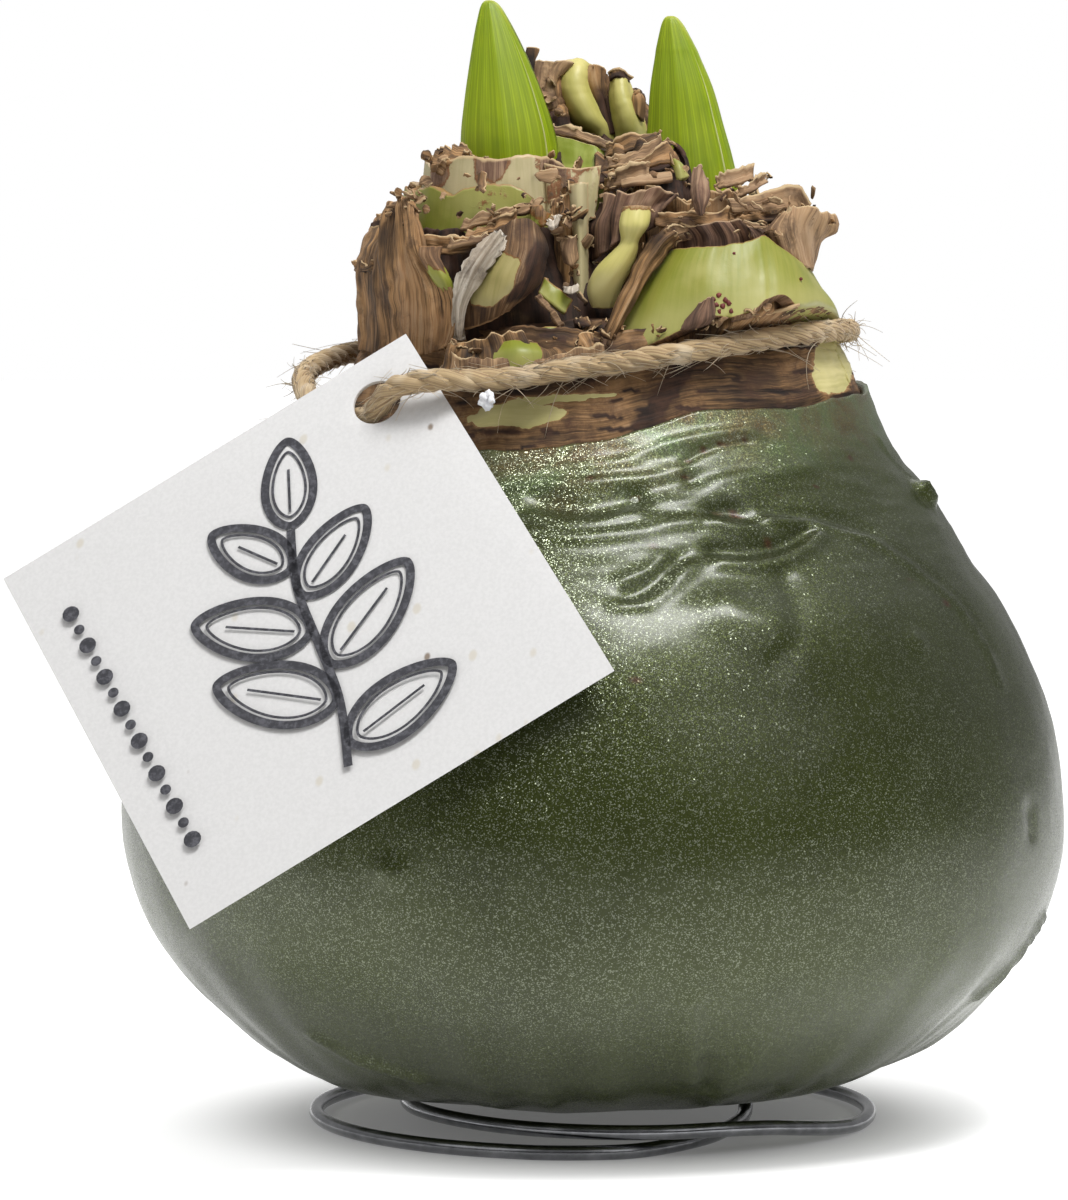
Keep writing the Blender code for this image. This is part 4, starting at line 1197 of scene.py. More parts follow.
def scaleFinish(name, flesh, fleshPale, dryDark, dryLight, rimTint):
    skin = Finish(name)
    uv = skin.uv()
    point = skin.place()
    dry = skin.attribute("dry")
    dark = skin.attribute("dark")
    rim = skin.attribute("rim")
    pale = skin.attribute("pale")
    streak = skin.grain(skin.stretched(uv, (14.0, 1.1, 1.0)), 1.0, 4.0, 0.62, 0.3)
    thread = skin.grain(skin.stretched(uv, (46.0, 2.2, 1.0)), 1.0, 2.0, 0.6)
    mottle = skin.grain(point, 330.0, 5.0, 0.68)
    broad = skin.grain(point, 95.0, 3.0, 0.6)
    fresh = skin.blend(skin.between(streak * 0.45 + broad * 0.55, 0.36, 0.64), flesh, fleshPale)
    creamy = mixedColour(fleshPale, srgb(232, 220, 168), 0.25)
    fresh = skin.blend(skin.between(broad, 0.5, 0.72) * 0.45, fresh, creamy)
    fresh = skin.blend(skin.between(pale + (broad - 0.5) * 0.3, 0.0, 1.0), fresh, creamy)
    papery = skin.ramp(skin.between(streak * 0.38 + thread * 0.2 + broad * 0.42, 0.36, 0.64), [
        (0.0, dryDark), (0.38, mixedColour(dryDark, dryLight, 0.42)), (0.7, dryLight),
        (1.0, mixedColour(dryLight, srgb(190, 164, 130), 0.5)),
    ])
    papery = skin.blend(skin.between(mottle, 0.48, 0.7) * 0.6, papery, srgb(48, 30, 20))
    papery = skin.blend(skin.between(broad, 0.5, 0.7) * 0.28, papery, srgb(122, 88, 70))
    worn = skin.between(dry + (mottle - 0.5) * 1.1 + (streak - 0.5) * 0.4, 0.36, 0.68)
    colour = skin.blend(worn, fresh, papery)
    edge = skin.between(worn * (1.0 - worn) * 4.0, 0.35, 1.0) * 0.75
    colour = skin.blend(edge, colour, srgb(128, 72, 34))
    # The dark layer's near-black brown: the dark tint of some scraps, and painted shade in valleys and hollows.
    darkTintAndShade = skin.ramp(skin.between(streak * 0.5 + mottle * 0.5, 0.38, 0.62), [
        (0.0, srgb(24, 15, 11)), (1.0, srgb(70, 46, 32)),
    ])
    colour = skin.blend(skin.between(dark + (mottle - 0.5) * 0.9 + (streak - 0.5) * 0.5, 0.28, 0.9), colour, darkTintAndShade)
    colour = skin.blend(skin.between(rim + (mottle - 0.5) * 0.7, 0.35, 0.8) * 0.85, colour, rimTint)
    height = (streak * 0.6 + thread * 0.5) * worn + mottle * 0.35
    skin.set(Base_Color=colour, Roughness=mixedSignal(worn, 0.42, 0.82), Specular_IOR_Level=0.4)
    skin.set(Normal=skin.bump(height, 0.7, 0.22))
    return skin.material


scaleTints = {  # the material's name, then fresh, paler fresh, dark dry, light dry and rim
    "flesh": ("leafBaseFlesh", (124, 130, 42), (142, 141, 62), (52, 33, 21), (130, 98, 68), (150, 112, 72)),
    "dry": ("dryTunic", (178, 170, 108), (198, 188, 132), (30, 19, 12), (160, 122, 80), (194, 166, 126)),
    "shield": ("shieldFlesh", (134, 126, 70), (158, 146, 94), (44, 29, 19), (108, 80, 52), (160, 124, 84)),
    "purple": ("purpleTunic", (150, 130, 90), (170, 150, 110), (40, 26, 20), (124, 94, 74), (178, 150, 118)),
    "cream": ("creamTongue", (176, 170, 92), (196, 186, 114), (70, 48, 34), (150, 120, 84), (176, 140, 96)),
    "tan": ("tanPaper", (190, 176, 130), (200, 186, 140), (80, 56, 38), (164, 133, 98), (190, 166, 128)),
    "bark": ("greyPeel", (200, 192, 176), (210, 202, 188), (150, 136, 118), (206, 196, 180), (222, 214, 200)),
    "amber": ("amberPaper", (170, 120, 60), (180, 130, 70), (110, 72, 34), (172, 126, 68), (190, 150, 96)),
    "beige": ("beigeScale", (166, 156, 112), (188, 176, 138), (78, 52, 42), (134, 106, 86), (190, 164, 124)),
    "green": ("greenWallFlesh", (118, 130, 36), (144, 150, 70), (90, 70, 40), (150, 130, 84), (190, 170, 120)),
}
skins = {
    key: scaleFinish(name, *(srgb(*tint) for tint in tints)) for key, (name, *tints) in scaleTints.items()
}


def makePlate(plate, seed):
    look = dict(looks[plate["look"]], **plate.get("change", {}))
    bm = bmesh.new()
    count = plate.get("layers", 1)
    for layer in range(count):
        inward = layer * plate["wall"] / count
        rise = 0.0 if layer == 0 else -0.9 * layer + 0.8 * rough(seed, layer * 3.3)
        sheet(bm, plateSurface(plate, inward, rise), look, seed + layer * 31.0)
    orientOutward(bm, plate.get("nose", neckMiddle))
    material = skins[plate.get("skin", plate["look"])]
    slot = "bulb_flesh" if plate["look"] == "flesh" else "dry_tunic"
    wall = plate["wall"] if plate["look"] == "flesh" else look["wall"]
    replaced = [plate["node"]] if "node" in plate else []
    finished(plate["name"], bm, material, replaced, wall=wall)


def orientOutward(bm, nose):
    for face in bm.faces:
        face.normal_update()
    total = 0.0
    for face in bm.faces:
        middle = face.calc_center_median()
        total += face.normal.dot(Vector((middle.x - nose[0], middle.y - nose[1], 0.0)))
    if total < 0:
        bmesh.ops.reverse_faces(bm, faces=bm.faces)


seeds = random.Random(7)
for plate in plates + fillers:
    makePlate(plate, seeds.uniform(0.0, 90.0))
print("leaf bases and tunics made")


# Torn pieces seen in front: nets of points, rows from the foot up, each from left to right.
# A point is where the photograph shows it, and its depth. Look and skin are dry where none is named,
# and the other words change the look.

nets = [
    dict(name="fleshyScale", node="leaf_base_right_fleshy", skin="flesh", look="flesh", wall=1.5, folds=0.12,
         fibres=0.02, torn=0.5, tornFoot=0.3, paint=fleshPaint, rim=0.12, gashes=0.0, rows=[
        [(606, 338, -20.5), (640, 349, -23.2), (683, 331, -24.4), (708, 319, -24.8), (730, 318, -24.8),
         (752, 313, -24.4), (769, 299, -23.4), (787, 297, -22.2), (809, 320, -19.6), (838, 332, -12.0),
         (846, 336, -3.0)],
        [(625, 306, -19.2), (655, 301, -21.8), (686, 294, -23.0), (708, 289, -23.6), (730, 288, -23.6),
         (752, 285, -23.1), (769, 281, -22.4), (787, 280, -21.2), (808, 292, -18.4), (832, 303, -11.0),
         (836, 308, -3.0)],
        [(648, 272, -18.2), (668, 269, -20.4), (690, 265, -21.6), (710, 262, -22.1), (730, 261, -22.1),
         (750, 259, -21.6), (767, 258, -20.8), (784, 261, -19.7), (803, 273, -17.0), (819, 284, -10.0),
         (823, 290, -3.0)],
        [(667, 251, -17.6), (680, 248, -19.4), (698, 246, -20.5), (714, 245, -20.9), (732, 243, -20.9),
         (748, 241, -20.3), (763, 234, -19.6), (780, 245, -18.5), (797, 258, -15.8), (811, 270, -9.4),
         (814, 276, -3.0)]]),
    dict(name="rolledEdge", wall=0.5, folds=0.3, torn=0.6, dark=0.55, fibres=0.16, curl=0.1, rim=0.4, rows=[
        [(601, 347, -22.0), (607, 346, -23.6), (614, 344, -22.6)],
        [(609, 321, -21.0), (617, 322, -23.4), (626, 320, -21.8)],
        [(628, 283, -20.0), (636, 285, -22.8), (646, 284, -20.9)],
        [(638, 258, -19.4), (648, 260, -22.0), (660, 264, -20.2)],
        [(650, 238, -18.6), (662, 240, -21.2), (672, 250, -18.8)],
        [(667, 224, -17.6), (674, 231, -19.6), (681, 240, -18.0)]]),
    dict(name="purpleBand", node="leaf_base_right_purple", skin="purple", folds=0.7, foldCount=7.0, dark=0.15,
         torn=0.5, gashes=0.6, rows=[
        [(640, 270, -14.0), (672, 262, -17.6), (700, 262, -18.8), (730, 262, -19.2), (757, 262, -18.8),
         (784, 262, -16.0)],
        [(646, 248, -14.0), (672, 243, -17.4), (700, 240, -18.6), (730, 238, -19.0), (757, 238, -18.6),
         (782, 246, -15.8)],
        [(652, 238, -13.8), (668, 231, -16.8), (692, 226, -18.4), (720, 221, -18.8), (745, 222, -18.4),
         (772, 232, -15.6)]]),
    dict(name="tanRightTip", node="tunic_right_tip", skin="tan", wall=0.5, torn=0.9, dark=0.05, folds=0.5,
         rows=[
        [(776, 252, -17.0), (795, 262, -15.5), (811, 268, -12.0), (813, 272, -5.0)],
        [(768, 238, -17.6), (790, 244, -16.5), (808, 250, -12.5), (823, 243, -7.0)],
        [(767, 228, -18.0), (787, 228, -17.0), (804, 226, -14.0), (835, 230, -8.0)],
        [(786, 207, -16.0), (797, 204, -15.0), (806, 205, -13.0), (822, 215, -8.0)]]),
    dict(name="flatRibbon", skin="tan", wall=0.4, across=True, torn=0.5, dark=0.05, folds=0.3, rows=[
        [(733, 214, -16.0), (752, 212, -16.4), (775, 210, -15.6), (797, 209, -13.0), (801, 226, -12.0)],
        [(730, 206, -15.6), (750, 204, -16.2), (774, 201, -15.4), (797, 199, -12.6), (806, 214, -11.6)],
        [(727, 198, -14.6), (748, 196, -15.4), (771, 193, -14.6), (794, 190, -12.0), (809, 203, -11.0)]]),
    dict(name="shelfUnder", wall=0.5, across=True, torn=0.5, dark=0.7, rows=[
        [(728, 222, -16.6), (750, 221, -17.2), (784, 219, -15.6)],
        [(730, 214, -15.4), (752, 212, -16.0), (785, 211, -14.4)]]),
    dict(name="splinterOne", skin="tan", wall=0.35, across=True, torn=0.3, dark=0.0, rows=[
        [(716, 188, -13.0), (735, 184, -13.4), (756, 178, -12.0)],
        [(715, 180, -11.6), (734, 175, -12.2), (753, 169, -11.0)]]),
    dict(name="splinterTwo", skin="tan", wall=0.35, across=True, torn=0.4, dark=0.0, rows=[
        [(736, 197, -14.0), (752, 191, -14.4), (768, 183, -12.0)],
        [(738, 189, -12.8), (753, 182, -13.2), (766, 173, -11.0)]]),
    dict(name="uprightFlap", skin="purple", wall=0.3, torn=0.2, dark=0.0, folds=0.2, rows=[
        [(698, 215, -19.0), (701, 216, -20.4), (704, 213, -19.2)],
        [(691, 200, -18.4), (699, 200, -20.4), (708, 200, -18.6)],
        [(689, 186, -17.0), (698, 184, -18.8), (709, 184, -17.0)],
        [(696, 169, -15.0), (701, 166, -16.0), (706, 170, -15.0)]]),
    dict(name="darkStrips", wall=0.4, across=True, torn=1.0, dark=0.45, rows=[
        [(655, 226, -17.0), (680, 226, -18.4), (705, 224, -18.6), (730, 222, -18.2)],
        [(652, 212, -16.0), (678, 211, -17.4), (704, 209, -17.6), (730, 208, -17.0)]]),
    dict(name="stackedArcOne", node="leaf_base_right_dry_3", wall=0.35, across=True, torn=0.7, dark=0.25,
         folds=0.5, rows=[
        [(603, 192, -9.0), (620, 181, -12.0), (645, 168, -13.5), (668, 162, -13.4), (682, 170, -12.0)],
        [(604, 178, -8.4), (624, 164, -11.2), (650, 154, -12.8), (667, 139, -12.0), (674, 145, -10.4)]]),
    dict(name="stackedArcTwo", skin="tan", wall=0.6, across=True, torn=0.5, dark=0.2, rows=[
        [(606, 187, -12.4), (625, 180, -13.8), (648, 176, -14.4)],
        [(608, 177, -11.6), (628, 170, -13.0), (652, 163, -13.6)]]),
    dict(name="paleRibbon", skin="tan", wall=0.45, across=True, torn=0.3, dark=0.0, folds=0.2, rows=[
        [(621, 186, -15.2), (645, 183, -15.8), (673, 180, -15.0)],
        [(620, 177, -14.4), (645, 173, -15.0), (671, 168, -14.4)]]),
    dict(name="creamBit", skin="flesh", look="flesh", wall=0.8, torn=0.1, folds=0.1, stain=0.1, rows=[
        [(676, 180, -14.6), (682, 179, -15.2), (690, 176, -14.4)],
        [(672, 168, -13.8), (679, 166, -14.8), (686, 168, -13.8)],
        [(671, 160, -13.0), (674, 158, -13.6), (679, 160, -13.0)]]),
    dict(name="darkMass", skin="purple", wall=0.35, torn=0.8, dark=0.65, folds=0.9, fibres=0.18, rows=[
        [(588, 262, -12.0), (600, 256, -15.2), (614, 244, -16.4), (636, 236, -16.6), (658, 226, -16.4)],
        [(588, 226, -11.6), (602, 220, -15.0), (620, 214, -16.4), (640, 208, -16.8), (664, 206, -16.6)],
        [(598, 200, -11.0), (612, 194, -14.2), (632, 190, -15.6), (652, 189, -16.0), (680, 190, -15.8)]]),
    dict(name="peeledStrip", node="tunic_curl", skin="bark", wall=0.9, torn=0.3, dark=0.0, folds=0.5,
         foldCount=3.0, fibres=0.09, tornSide=1.6, curl=0.0, rows=[
        [(456, 340, -20.6), (458, 340, -21.4), (461, 339, -20.8)],
        [(453, 306, -21.6), (460, 306, -23.2), (469, 300, -22.0)],
        [(455, 282, -22.0), (467, 284, -24.0), (482, 280, -22.4)],
        [(463, 262, -21.8), (478, 263, -24.0), (494, 262, -22.2)],
        [(476, 243, -21.2), (490, 245, -23.2), (504, 250, -21.6)],
        [(491, 228, -20.2), (500, 230, -21.8), (510, 238, -20.6)]]),
    dict(name="cutShield", skin="shield", look="flesh", wall=1.1, folds=0.25, fibres=0.06, torn=0.3,
         paint=shieldPaint, tornFoot=0.3, rows=[
        [(462, 331, -20.0), (480, 326, -21.2), (495, 320, -21.6), (507, 312, -21.6), (516, 304, -21.0)],
        [(460, 305, -20.4), (482, 303, -22.2), (501, 299, -22.8), (521, 293, -22.4), (538, 286, -20.6)],
        [(464, 280, -20.2), (486, 276, -22.2), (508, 274, -23.0), (530, 270, -22.6), (546, 268, -20.0)],
        [(480, 255, -19.8), (500, 252, -21.6), (518, 250, -22.2), (536, 247, -21.6), (550, 248, -19.0)],
        [(494, 230, -19.0), (507, 222, -19.8), (520, 217, -19.9), (533, 221, -19.2), (545, 232, -17.8)]]),
    dict(name="greyFlap", skin="flesh", wall=0.5, torn=0.3, dark=0.05, paint=flapPaint, folds=0.2, rows=[
        [(449, 309, -20.4), (452, 306, -20.8), (456, 301, -20.6)],
        [(431, 281, -20.8), (442, 279, -21.6), (453, 281, -21.0)],
        [(419, 259, -20.2), (430, 257, -21.0), (442, 259, -20.4)],
        [(418, 244, -19.6), (430, 245, -20.2), (442, 246, -19.4)]]),
    dict(name="tunicLobe", node="tunic_left", wall=0.4, torn=0.8, dark=0.1, folds=0.8, foldCount=4.0,
         fibres=0.2, paint=lobePaint, curl=0.1, gashes=0.8, tornSide=0.8, rows=[
        [(374, 356, 9.0), (359, 350, -4.0), (382, 354, -12.6), (407, 357, -17.6), (431, 353, -20.0),
         (446, 347, -21.2)],
        [(371, 315, 9.0), (358, 306, -4.0), (381, 313, -12.8), (406, 318, -17.9), (433, 320, -20.6),
         (454, 324, -21.6)],
        [(369, 280, 8.6), (356, 270, -4.0), (377, 277, -12.6), (403, 281, -17.8), (430, 286, -20.4),
         (451, 293, -21.2)],
        [(373, 250, 7.4), (362, 248, -4.0), (379, 246, -11.5), (398, 247, -16.2), (413, 251, -18.6),
         (428, 260, -19.6)],
        [(379, 225, 6.0), (374, 226, -3.4), (385, 217, -10.0), (397, 207, -14.2), (408, 209, -16.0),
         (418, 224, -17.0)],
        [(385, 215, 5.0), (381, 214, -3.0), (389, 203, -9.0), (398, 195, -12.5), (405, 196, -14.2),
         (411, 205, -15.4)]]),
    dict(name="amberSliver", skin="amber", wall=0.25, torn=0.3, dark=0.0, folds=0.1, rows=[
        [(366, 254, 1.0), (371, 250, -2.6), (378, 243, -5.0)],
        [(361, 240, 0.6), (370, 228, -2.4), (381, 212, -4.0)]]),
    dict(name="leftNub", wall=0.4, across=True, torn=0.6, dark=0.1, rows=[
        [(353, 270, -3.0), (361, 272, -7.0), (371, 270, -10.6)],
        [(353, 258, -2.6), (361, 259, -6.6), (373, 256, -10.4)]]),
    dict(name="stripOne", skin="tan", wall=0.45, across=True, torn=0.5, dark=0.2, rows=[
        [(458, 229, -16.0), (486, 222, -17.2), (512, 216, -17.4), (538, 207, -16.2)],
        [(468, 216, -15.2), (492, 211, -16.4), (516, 204, -16.6), (549, 191, -15.0)]]),
    dict(name="stripTwo", wall=0.45, across=True, torn=0.6, dark=0.35, rows=[
        [(462, 240, -17.4), (490, 233, -18.4), (516, 224, -18.2)],
        [(468, 229, -16.4), (494, 222, -17.4), (519, 213, -17.4)]]),
    dict(name="stripThree", wall=0.5, across=True, torn=1.2, dark=0.4, rows=[
        [(416, 252, -17.0), (445, 254, -19.4), (470, 252, -20.2), (487, 246, -20.0)],
        [(415, 231, -16.4), (445, 234, -18.6), (468, 234, -19.2), (484, 230, -19.2)]]),
    dict(name="stripFour", skin="tan", wall=0.45, across=True, torn=0.8, dark=0.1, rows=[
        [(447, 246, -20.0), (470, 242, -20.6), (492, 238, -20.6)],
        [(452, 238, -19.2), (472, 233, -19.8), (496, 226, -19.8)]]),
    dict(name="greyChip", skin="flesh", wall=0.6, torn=0.3, dark=0.25, dry=(0.4, 0.6), stain=0.5, rows=[
        [(530, 222, -17.4), (541, 226, -18.6), (552, 223, -17.6)],
        [(530, 206, -16.8), (541, 203, -18.0), (552, 210, -17.0)]]),
    dict(name="whiteChip", skin="bark", wall=0.5, torn=0.3, dark=0.0, rows=[
        [(545, 224, -18.4), (552, 226, -19.0), (561, 219, -18.2)],
        [(546, 219, -18.0), (553, 220, -18.4), (558, 213, -17.8)]]),
    dict(name="ringChip", skin="tan", wall=0.45, torn=0.4, dark=0.1, rows=[
        [(562, 262, -17.6), (572, 266, -18.4), (580, 258, -17.6)],
        [(560, 246, -17.0), (569, 250, -18.0), (578, 242, -17.2)],
        [(564, 236, -16.6), (572, 236, -17.4), (577, 234, -16.8)]]),
    dict(name="innerScaleEnd", skin="beige", look="flesh", wall=0.8, dry=(0.2, 0.5), stain=0.5, torn=0.2,
         folds=0.2, rim=0.7, rows=[
        [(545, 232, -12.0), (572, 228, -13.4), (596, 218, -12.0)],
        [(546, 196, -12.0), (574, 194, -13.0), (599, 186, -11.4)],
        [(544, 163, -11.4), (574, 168, -12.2), (602, 165, -10.4)]]),
    dict(name="paleUpright", skin="beige", look="flesh", wall=1.2, dry=(0.1, 0.2), stain=0.4, torn=0.2,
         folds=0.2, rows=[
        [(573, 304, -15.4), (581, 306, -16.6), (589, 303, -15.2)],
        [(572, 268, -15.0), (580, 269, -16.2), (589, 268, -14.8)],
        [(571, 228, -14.6), (579, 228, -15.8), (588, 230, -14.4)],
        [(566, 186, -14.0), (577, 182, -15.0), (588, 182, -13.6)]]),
    dict(name="darkUpright", wall=0.5, dark=0.75, torn=0.8, folds=0.5, rows=[
        [(550, 300, -14.6), (562, 302, -16.2), (575, 300, -15.2)],
        [(552, 250, -14.4), (562, 250, -16.2), (572, 250, -15.0)],
        [(549, 200, -13.6), (560, 195, -15.4), (570, 192, -14.2)]]),
    dict(name="greenStrip", skin="flesh", look="flesh", wall=0.6, dry=(0.1, 0.3), torn=0.4, rows=[
        [(538, 292, -20.2), (551, 303, -20.8), (566, 313, -20.6)],
        [(544, 277, -19.4), (558, 287, -20.0), (573, 300, -19.8)]]),
    dict(name="diagonalStrip", skin="tan", wall=0.4, torn=0.2, dark=0.3, rows=[
        [(535, 296, -21.0), (547, 309, -21.4), (560, 328, -21.6)],
        [(540, 292, -20.8), (553, 305, -21.2), (567, 325, -21.4)]]),
    dict(name="paleFleck", skin="bark", wall=0.3, torn=0.4, dark=0.1, rows=[
        [(562, 291, -20.6), (570, 294, -21.2), (580, 290, -20.8)],
        [(564, 283, -20.2), (571, 284, -20.8), (578, 282, -20.4)]]),
    dict(name="cavityLeft", node="leaf_base_left_dry", wall=0.5, paint=shadowPaint, folds=0.9, fibres=0.2,
         rows=[
        [(420, 372, -16.0), (462, 372, -18.6), (520, 372, -20.0), (575, 370, -20.0), (620, 366, -19.0)],
        [(418, 320, -15.0), (462, 320, -17.8), (520, 322, -18.6), (575, 322, -17.6), (618, 318, -15.0)],
        [(416, 268, -14.4), (462, 268, -17.0), (515, 268, -17.2), (566, 268, -15.4), (600, 270, -12.6)],
        [(416, 226, -14.0), (462, 226, -15.8), (510, 224, -15.8), (548, 222, -14.0), (560, 226, -12.4)]]),
    dict(name="wavyPaperBack", node="leaf_base_front", wall=0.35, torn=0.7, folds=0.7, foldCount=7.0,
         dark=0.15, gashes=1.0, rows=[
        [(440, 374, -23.4), (480, 372, -24.8), (520, 368, -25.4), (560, 366, -25.4), (612, 362, -24.8)],
        [(443, 356, -22.8), (480, 353, -24.0), (520, 350, -24.4), (560, 352, -24.4), (612, 350, -23.8)],
        [(446, 338, -21.6), (480, 342, -22.6), (512, 333, -23.0), (548, 341, -22.8), (608, 334, -22.0)]]),
    dict(name="wavyPaperFront", skin="tan", wall=0.35, torn=0.8, folds=0.5, foldCount=8.0, dark=0.1,
         gashes=1.5, rows=[
        [(447, 378, -24.2), (480, 376, -25.6), (520, 372, -26.2), (560, 368, -26.2), (606, 362, -25.6)],
        [(450, 362, -23.8), (480, 362, -25.2), (520, 362, -25.8), (560, 358, -25.6), (606, 354, -25.0)],
        [(452, 352, -23.2), (480, 356, -24.6), (520, 358, -25.2), (560, 352, -25.0), (604, 346, -24.2)]]),
    dict(name="greenBump", skin="flesh", look="flesh", wall=0.8, dry=(0.0, 0.1), torn=0.2, folds=0.1,
         stain=0.2, rows=[
        [(488, 366, -24.4), (517, 368, -26.0), (548, 363, -25.0)],
        [(492, 352, -24.0), (517, 350, -25.6), (545, 352, -24.6)],
        [(500, 342, -23.0), (517, 339, -24.0), (537, 343, -23.4)]]),
    dict(name="greenEdge", skin="flesh", look="flesh", wall=0.8, dry=(0.0, 0.2), torn=0.3, folds=0.1,
         stain=0.3, rows=[
        [(526, 347, -22.0), (547, 346, -23.0), (568, 345, -22.4)],
        [(528, 331, -21.2), (547, 326, -22.0), (566, 328, -21.4)]]),
    # Its dark is painted shade on the brown tunic under the fleshy scale.
    dict(name="brownUnderScale", node="tunic_right", wall=0.4, dark=0.55, torn=0.8, folds=0.5, rows=[
        [(596, 368, -22.6), (650, 364, -24.0), (705, 356, -24.4), (760, 348, -23.4), (812, 338, -20.0),
         (846, 338, -12.0)],
        [(600, 338, -19.0), (650, 334, -21.6), (705, 326, -22.6), (760, 318, -22.0), (810, 316, -18.6),
         (838, 320, -11.0)],
        [(604, 316, -17.0), (650, 306, -19.6), (705, 296, -21.0), (760, 288, -20.6), (808, 290, -17.4),
         (830, 298, -10.0)]]),
    dict(name="pinkFlap", skin="purple", wall=0.35, torn=0.2, dark=0.0, folds=0.2, rows=[
        [(680, 330, -25.2), (698, 329, -25.8), (716, 324, -25.6)],
        [(686, 318, -24.8), (702, 311, -25.4), (714, 306, -25.2)],
        [(700, 306, -24.2), (708, 299, -24.8), (712, 297, -24.8)]]),
    dict(name="tornArch", wall=0.35, torn=1.8, dark=0.35, gashes=2.0, rows=[
        [(768, 330, -24.0), (785, 326, -23.6), (800, 326, -22.0), (812, 330, -19.8)],
        [(772, 306, -22.6), (786, 300, -22.2), (799, 301, -20.8), (808, 312, -18.8)]]),
    dict(name="rimRibbon", skin="tan", wall=0.8, across=True, torn=0.5, dark=0.25, folds=0.4, rows=[
        [(546, 133, 3.0), (570, 137, 1.0), (592, 144, -1.0), (612, 152, -4.0)],
        [(548, 123, 4.0), (570, 127, 2.0), (594, 134, 0.0), (614, 142, -3.0)]]),
    dict(name="greenWall", skin="green", look="flesh", wall=1.2, dry=(0.0, 0.1), torn=0.2, folds=0.15,
         stain=0.15, rows=[
        [(546, 300, -3.0), (572, 300, -5.0), (592, 300, -6.0), (606, 300, -5.6)],
        [(548, 190, -2.0), (572, 190, -4.0), (592, 190, -5.0), (606, 190, -4.6)],
        [(550, 160, -0.4), (572, 161, -2.4), (592, 163, -3.6), (605, 165, -3.4)],
        [(552, 135, 1.6), (572, 139, -0.4), (592, 145, -1.8), (606, 152, -2.0)]]),
    dict(name="crumblyWall", node="dry_wrap_back", wall=0.5, dark=0.85, torn=1.1, folds=1.0, fibres=0.25,
         stain=0.4, rows=[
        [(508, 322, 8.0), (536, 324, 8.0), (556, 324, 9.0), (586, 324, 12.0), (636, 322, 12.0),
         (654, 320, 13.0)],
        [(512, 142, 7.0), (536, 142, 5.4), (556, 142, 6.4), (580, 142, 11.6), (640, 142, 11.6),
         (652, 142, 13.0)],
        [(514, 110, 8.0), (536, 108, 6.6), (554, 106, 7.8), (578, 104, 12.6), (626, 106, 12.6),
         (642, 118, 14.0)],
        [(522, 72, 9.6), (536, 66, 8.4), (552, 62, 9.8), (574, 62, 13.6), (604, 72, 13.8), (632, 98, 15.4)]]),
    dict(name="tongueLeft", node="tongue_left", skin="cream", look="flesh", wall=0.9, dry=(0.0, 0.12),
         torn=0.1, folds=0.1, stain=0.2, rim=0.3, rows=[
        [(590, 322, 11.0), (602, 324, 10.0), (613, 322, 11.0)],
        [(594, 210, 10.4), (604, 212, 9.0), (614, 210, 10.2)],
        [(597, 138, 9.9), (605, 141, 8.3), (613, 140, 9.7)],
        [(571, 116, 10.1), (587, 116, 7.4), (605, 118, 9.9)],
        [(560, 92, 10.5), (575, 90, 7.8), (595, 94, 10.5)],
        [(562, 76, 10.9), (576, 73, 8.6), (590, 78, 10.9)],
        [(567, 67, 11.2), (578, 65, 9.8), (588, 67, 11.2)]]),
    dict(name="tongueRight", node="tongue_right", skin="cream", look="flesh", wall=0.7, dry=(0.0, 0.1),
         torn=0.1, folds=0.1, stain=0.2, rows=[
        [(622, 322, 10.0), (632, 324, 9.0), (642, 322, 10.0)],
        [(621, 210, 9.2), (631, 212, 7.8), (642, 210, 9.2)],
        [(619, 142, 8.8), (631, 147, 6.8), (642, 140, 8.6)],
        [(616, 121, 8.8), (628, 121, 6.2), (639, 120, 8.6)],
        [(614, 99, 9.0), (622, 98, 6.8), (631, 100, 8.8)],
        [(616, 82, 9.2), (620, 80, 7.8), (625, 83, 9.0)]]),
    dict(name="betweenTongues", wall=0.4, dark=0.7, torn=0.8, folds=0.6, curl=0.3, rows=[
        [(600, 200, 11.4), (608, 202, 10.2), (617, 200, 11.0)],
        [(600, 128, 10.4), (608, 128, 9.2), (616, 128, 10.0)],
        [(592, 96, 10.6), (601, 95, 9.4), (612, 96, 10.2)],
        [(586, 66, 11.2), (596, 64, 10.0), (606, 76, 10.6)]]),
    dict(name="besideTongue", wall=0.4, dark=0.4, torn=1.0, folds=0.6, curl=0.3, rows=[
        [(634, 210, 10.4), (646, 208, 9.6), (658, 204, 10.6)],
        [(632, 142, 9.6), (644, 140, 8.6), (656, 136, 9.8)],
        [(628, 112, 9.8), (637, 112, 9.0), (647, 116, 10.0)],
        [(624, 88, 10.4), (632, 90, 9.6), (638, 98, 10.6)]]),
    dict(name="crumblyWallTop", skin="tan", wall=0.5, dark=0.35, torn=1.2, folds=0.8, stain=0.4, rows=[
        [(528, 110, 7.0), (544, 112, 6.2), (560, 106, 7.4)],
        [(530, 84, 8.0), (544, 82, 7.2), (556, 80, 8.4)],
        [(530, 62, 9.0), (548, 60, 8.4), (572, 60, 9.4)]]),
    dict(name="nestOne", wall=0.35, across=True, dark=0.6, torn=1.2, folds=0.8, rows=[
        [(596, 182, -7.0), (620, 178, -9.0), (650, 170, -9.6), (676, 164, -8.4)],
        [(600, 150, -2.4), (622, 148, -4.6), (648, 141, -5.4), (672, 140, -4.2)]]),
    dict(name="nestTwo", skin="tan", wall=0.35, across=True, dark=0.1, torn=0.9, rows=[
        [(606, 168, -8.0), (632, 162, -9.8), (664, 150, -9.4)],
        [(608, 158, -6.4), (634, 152, -8.0), (662, 136, -7.4)]]),
    dict(name="nestThree", wall=0.3, across=True, dark=0.2, torn=0.9, rows=[
        [(604, 156, -4.0), (628, 150, -6.0), (656, 142, -6.0)],
        [(606, 144, -2.4), (630, 138, -4.2), (660, 128, -4.4)]]),
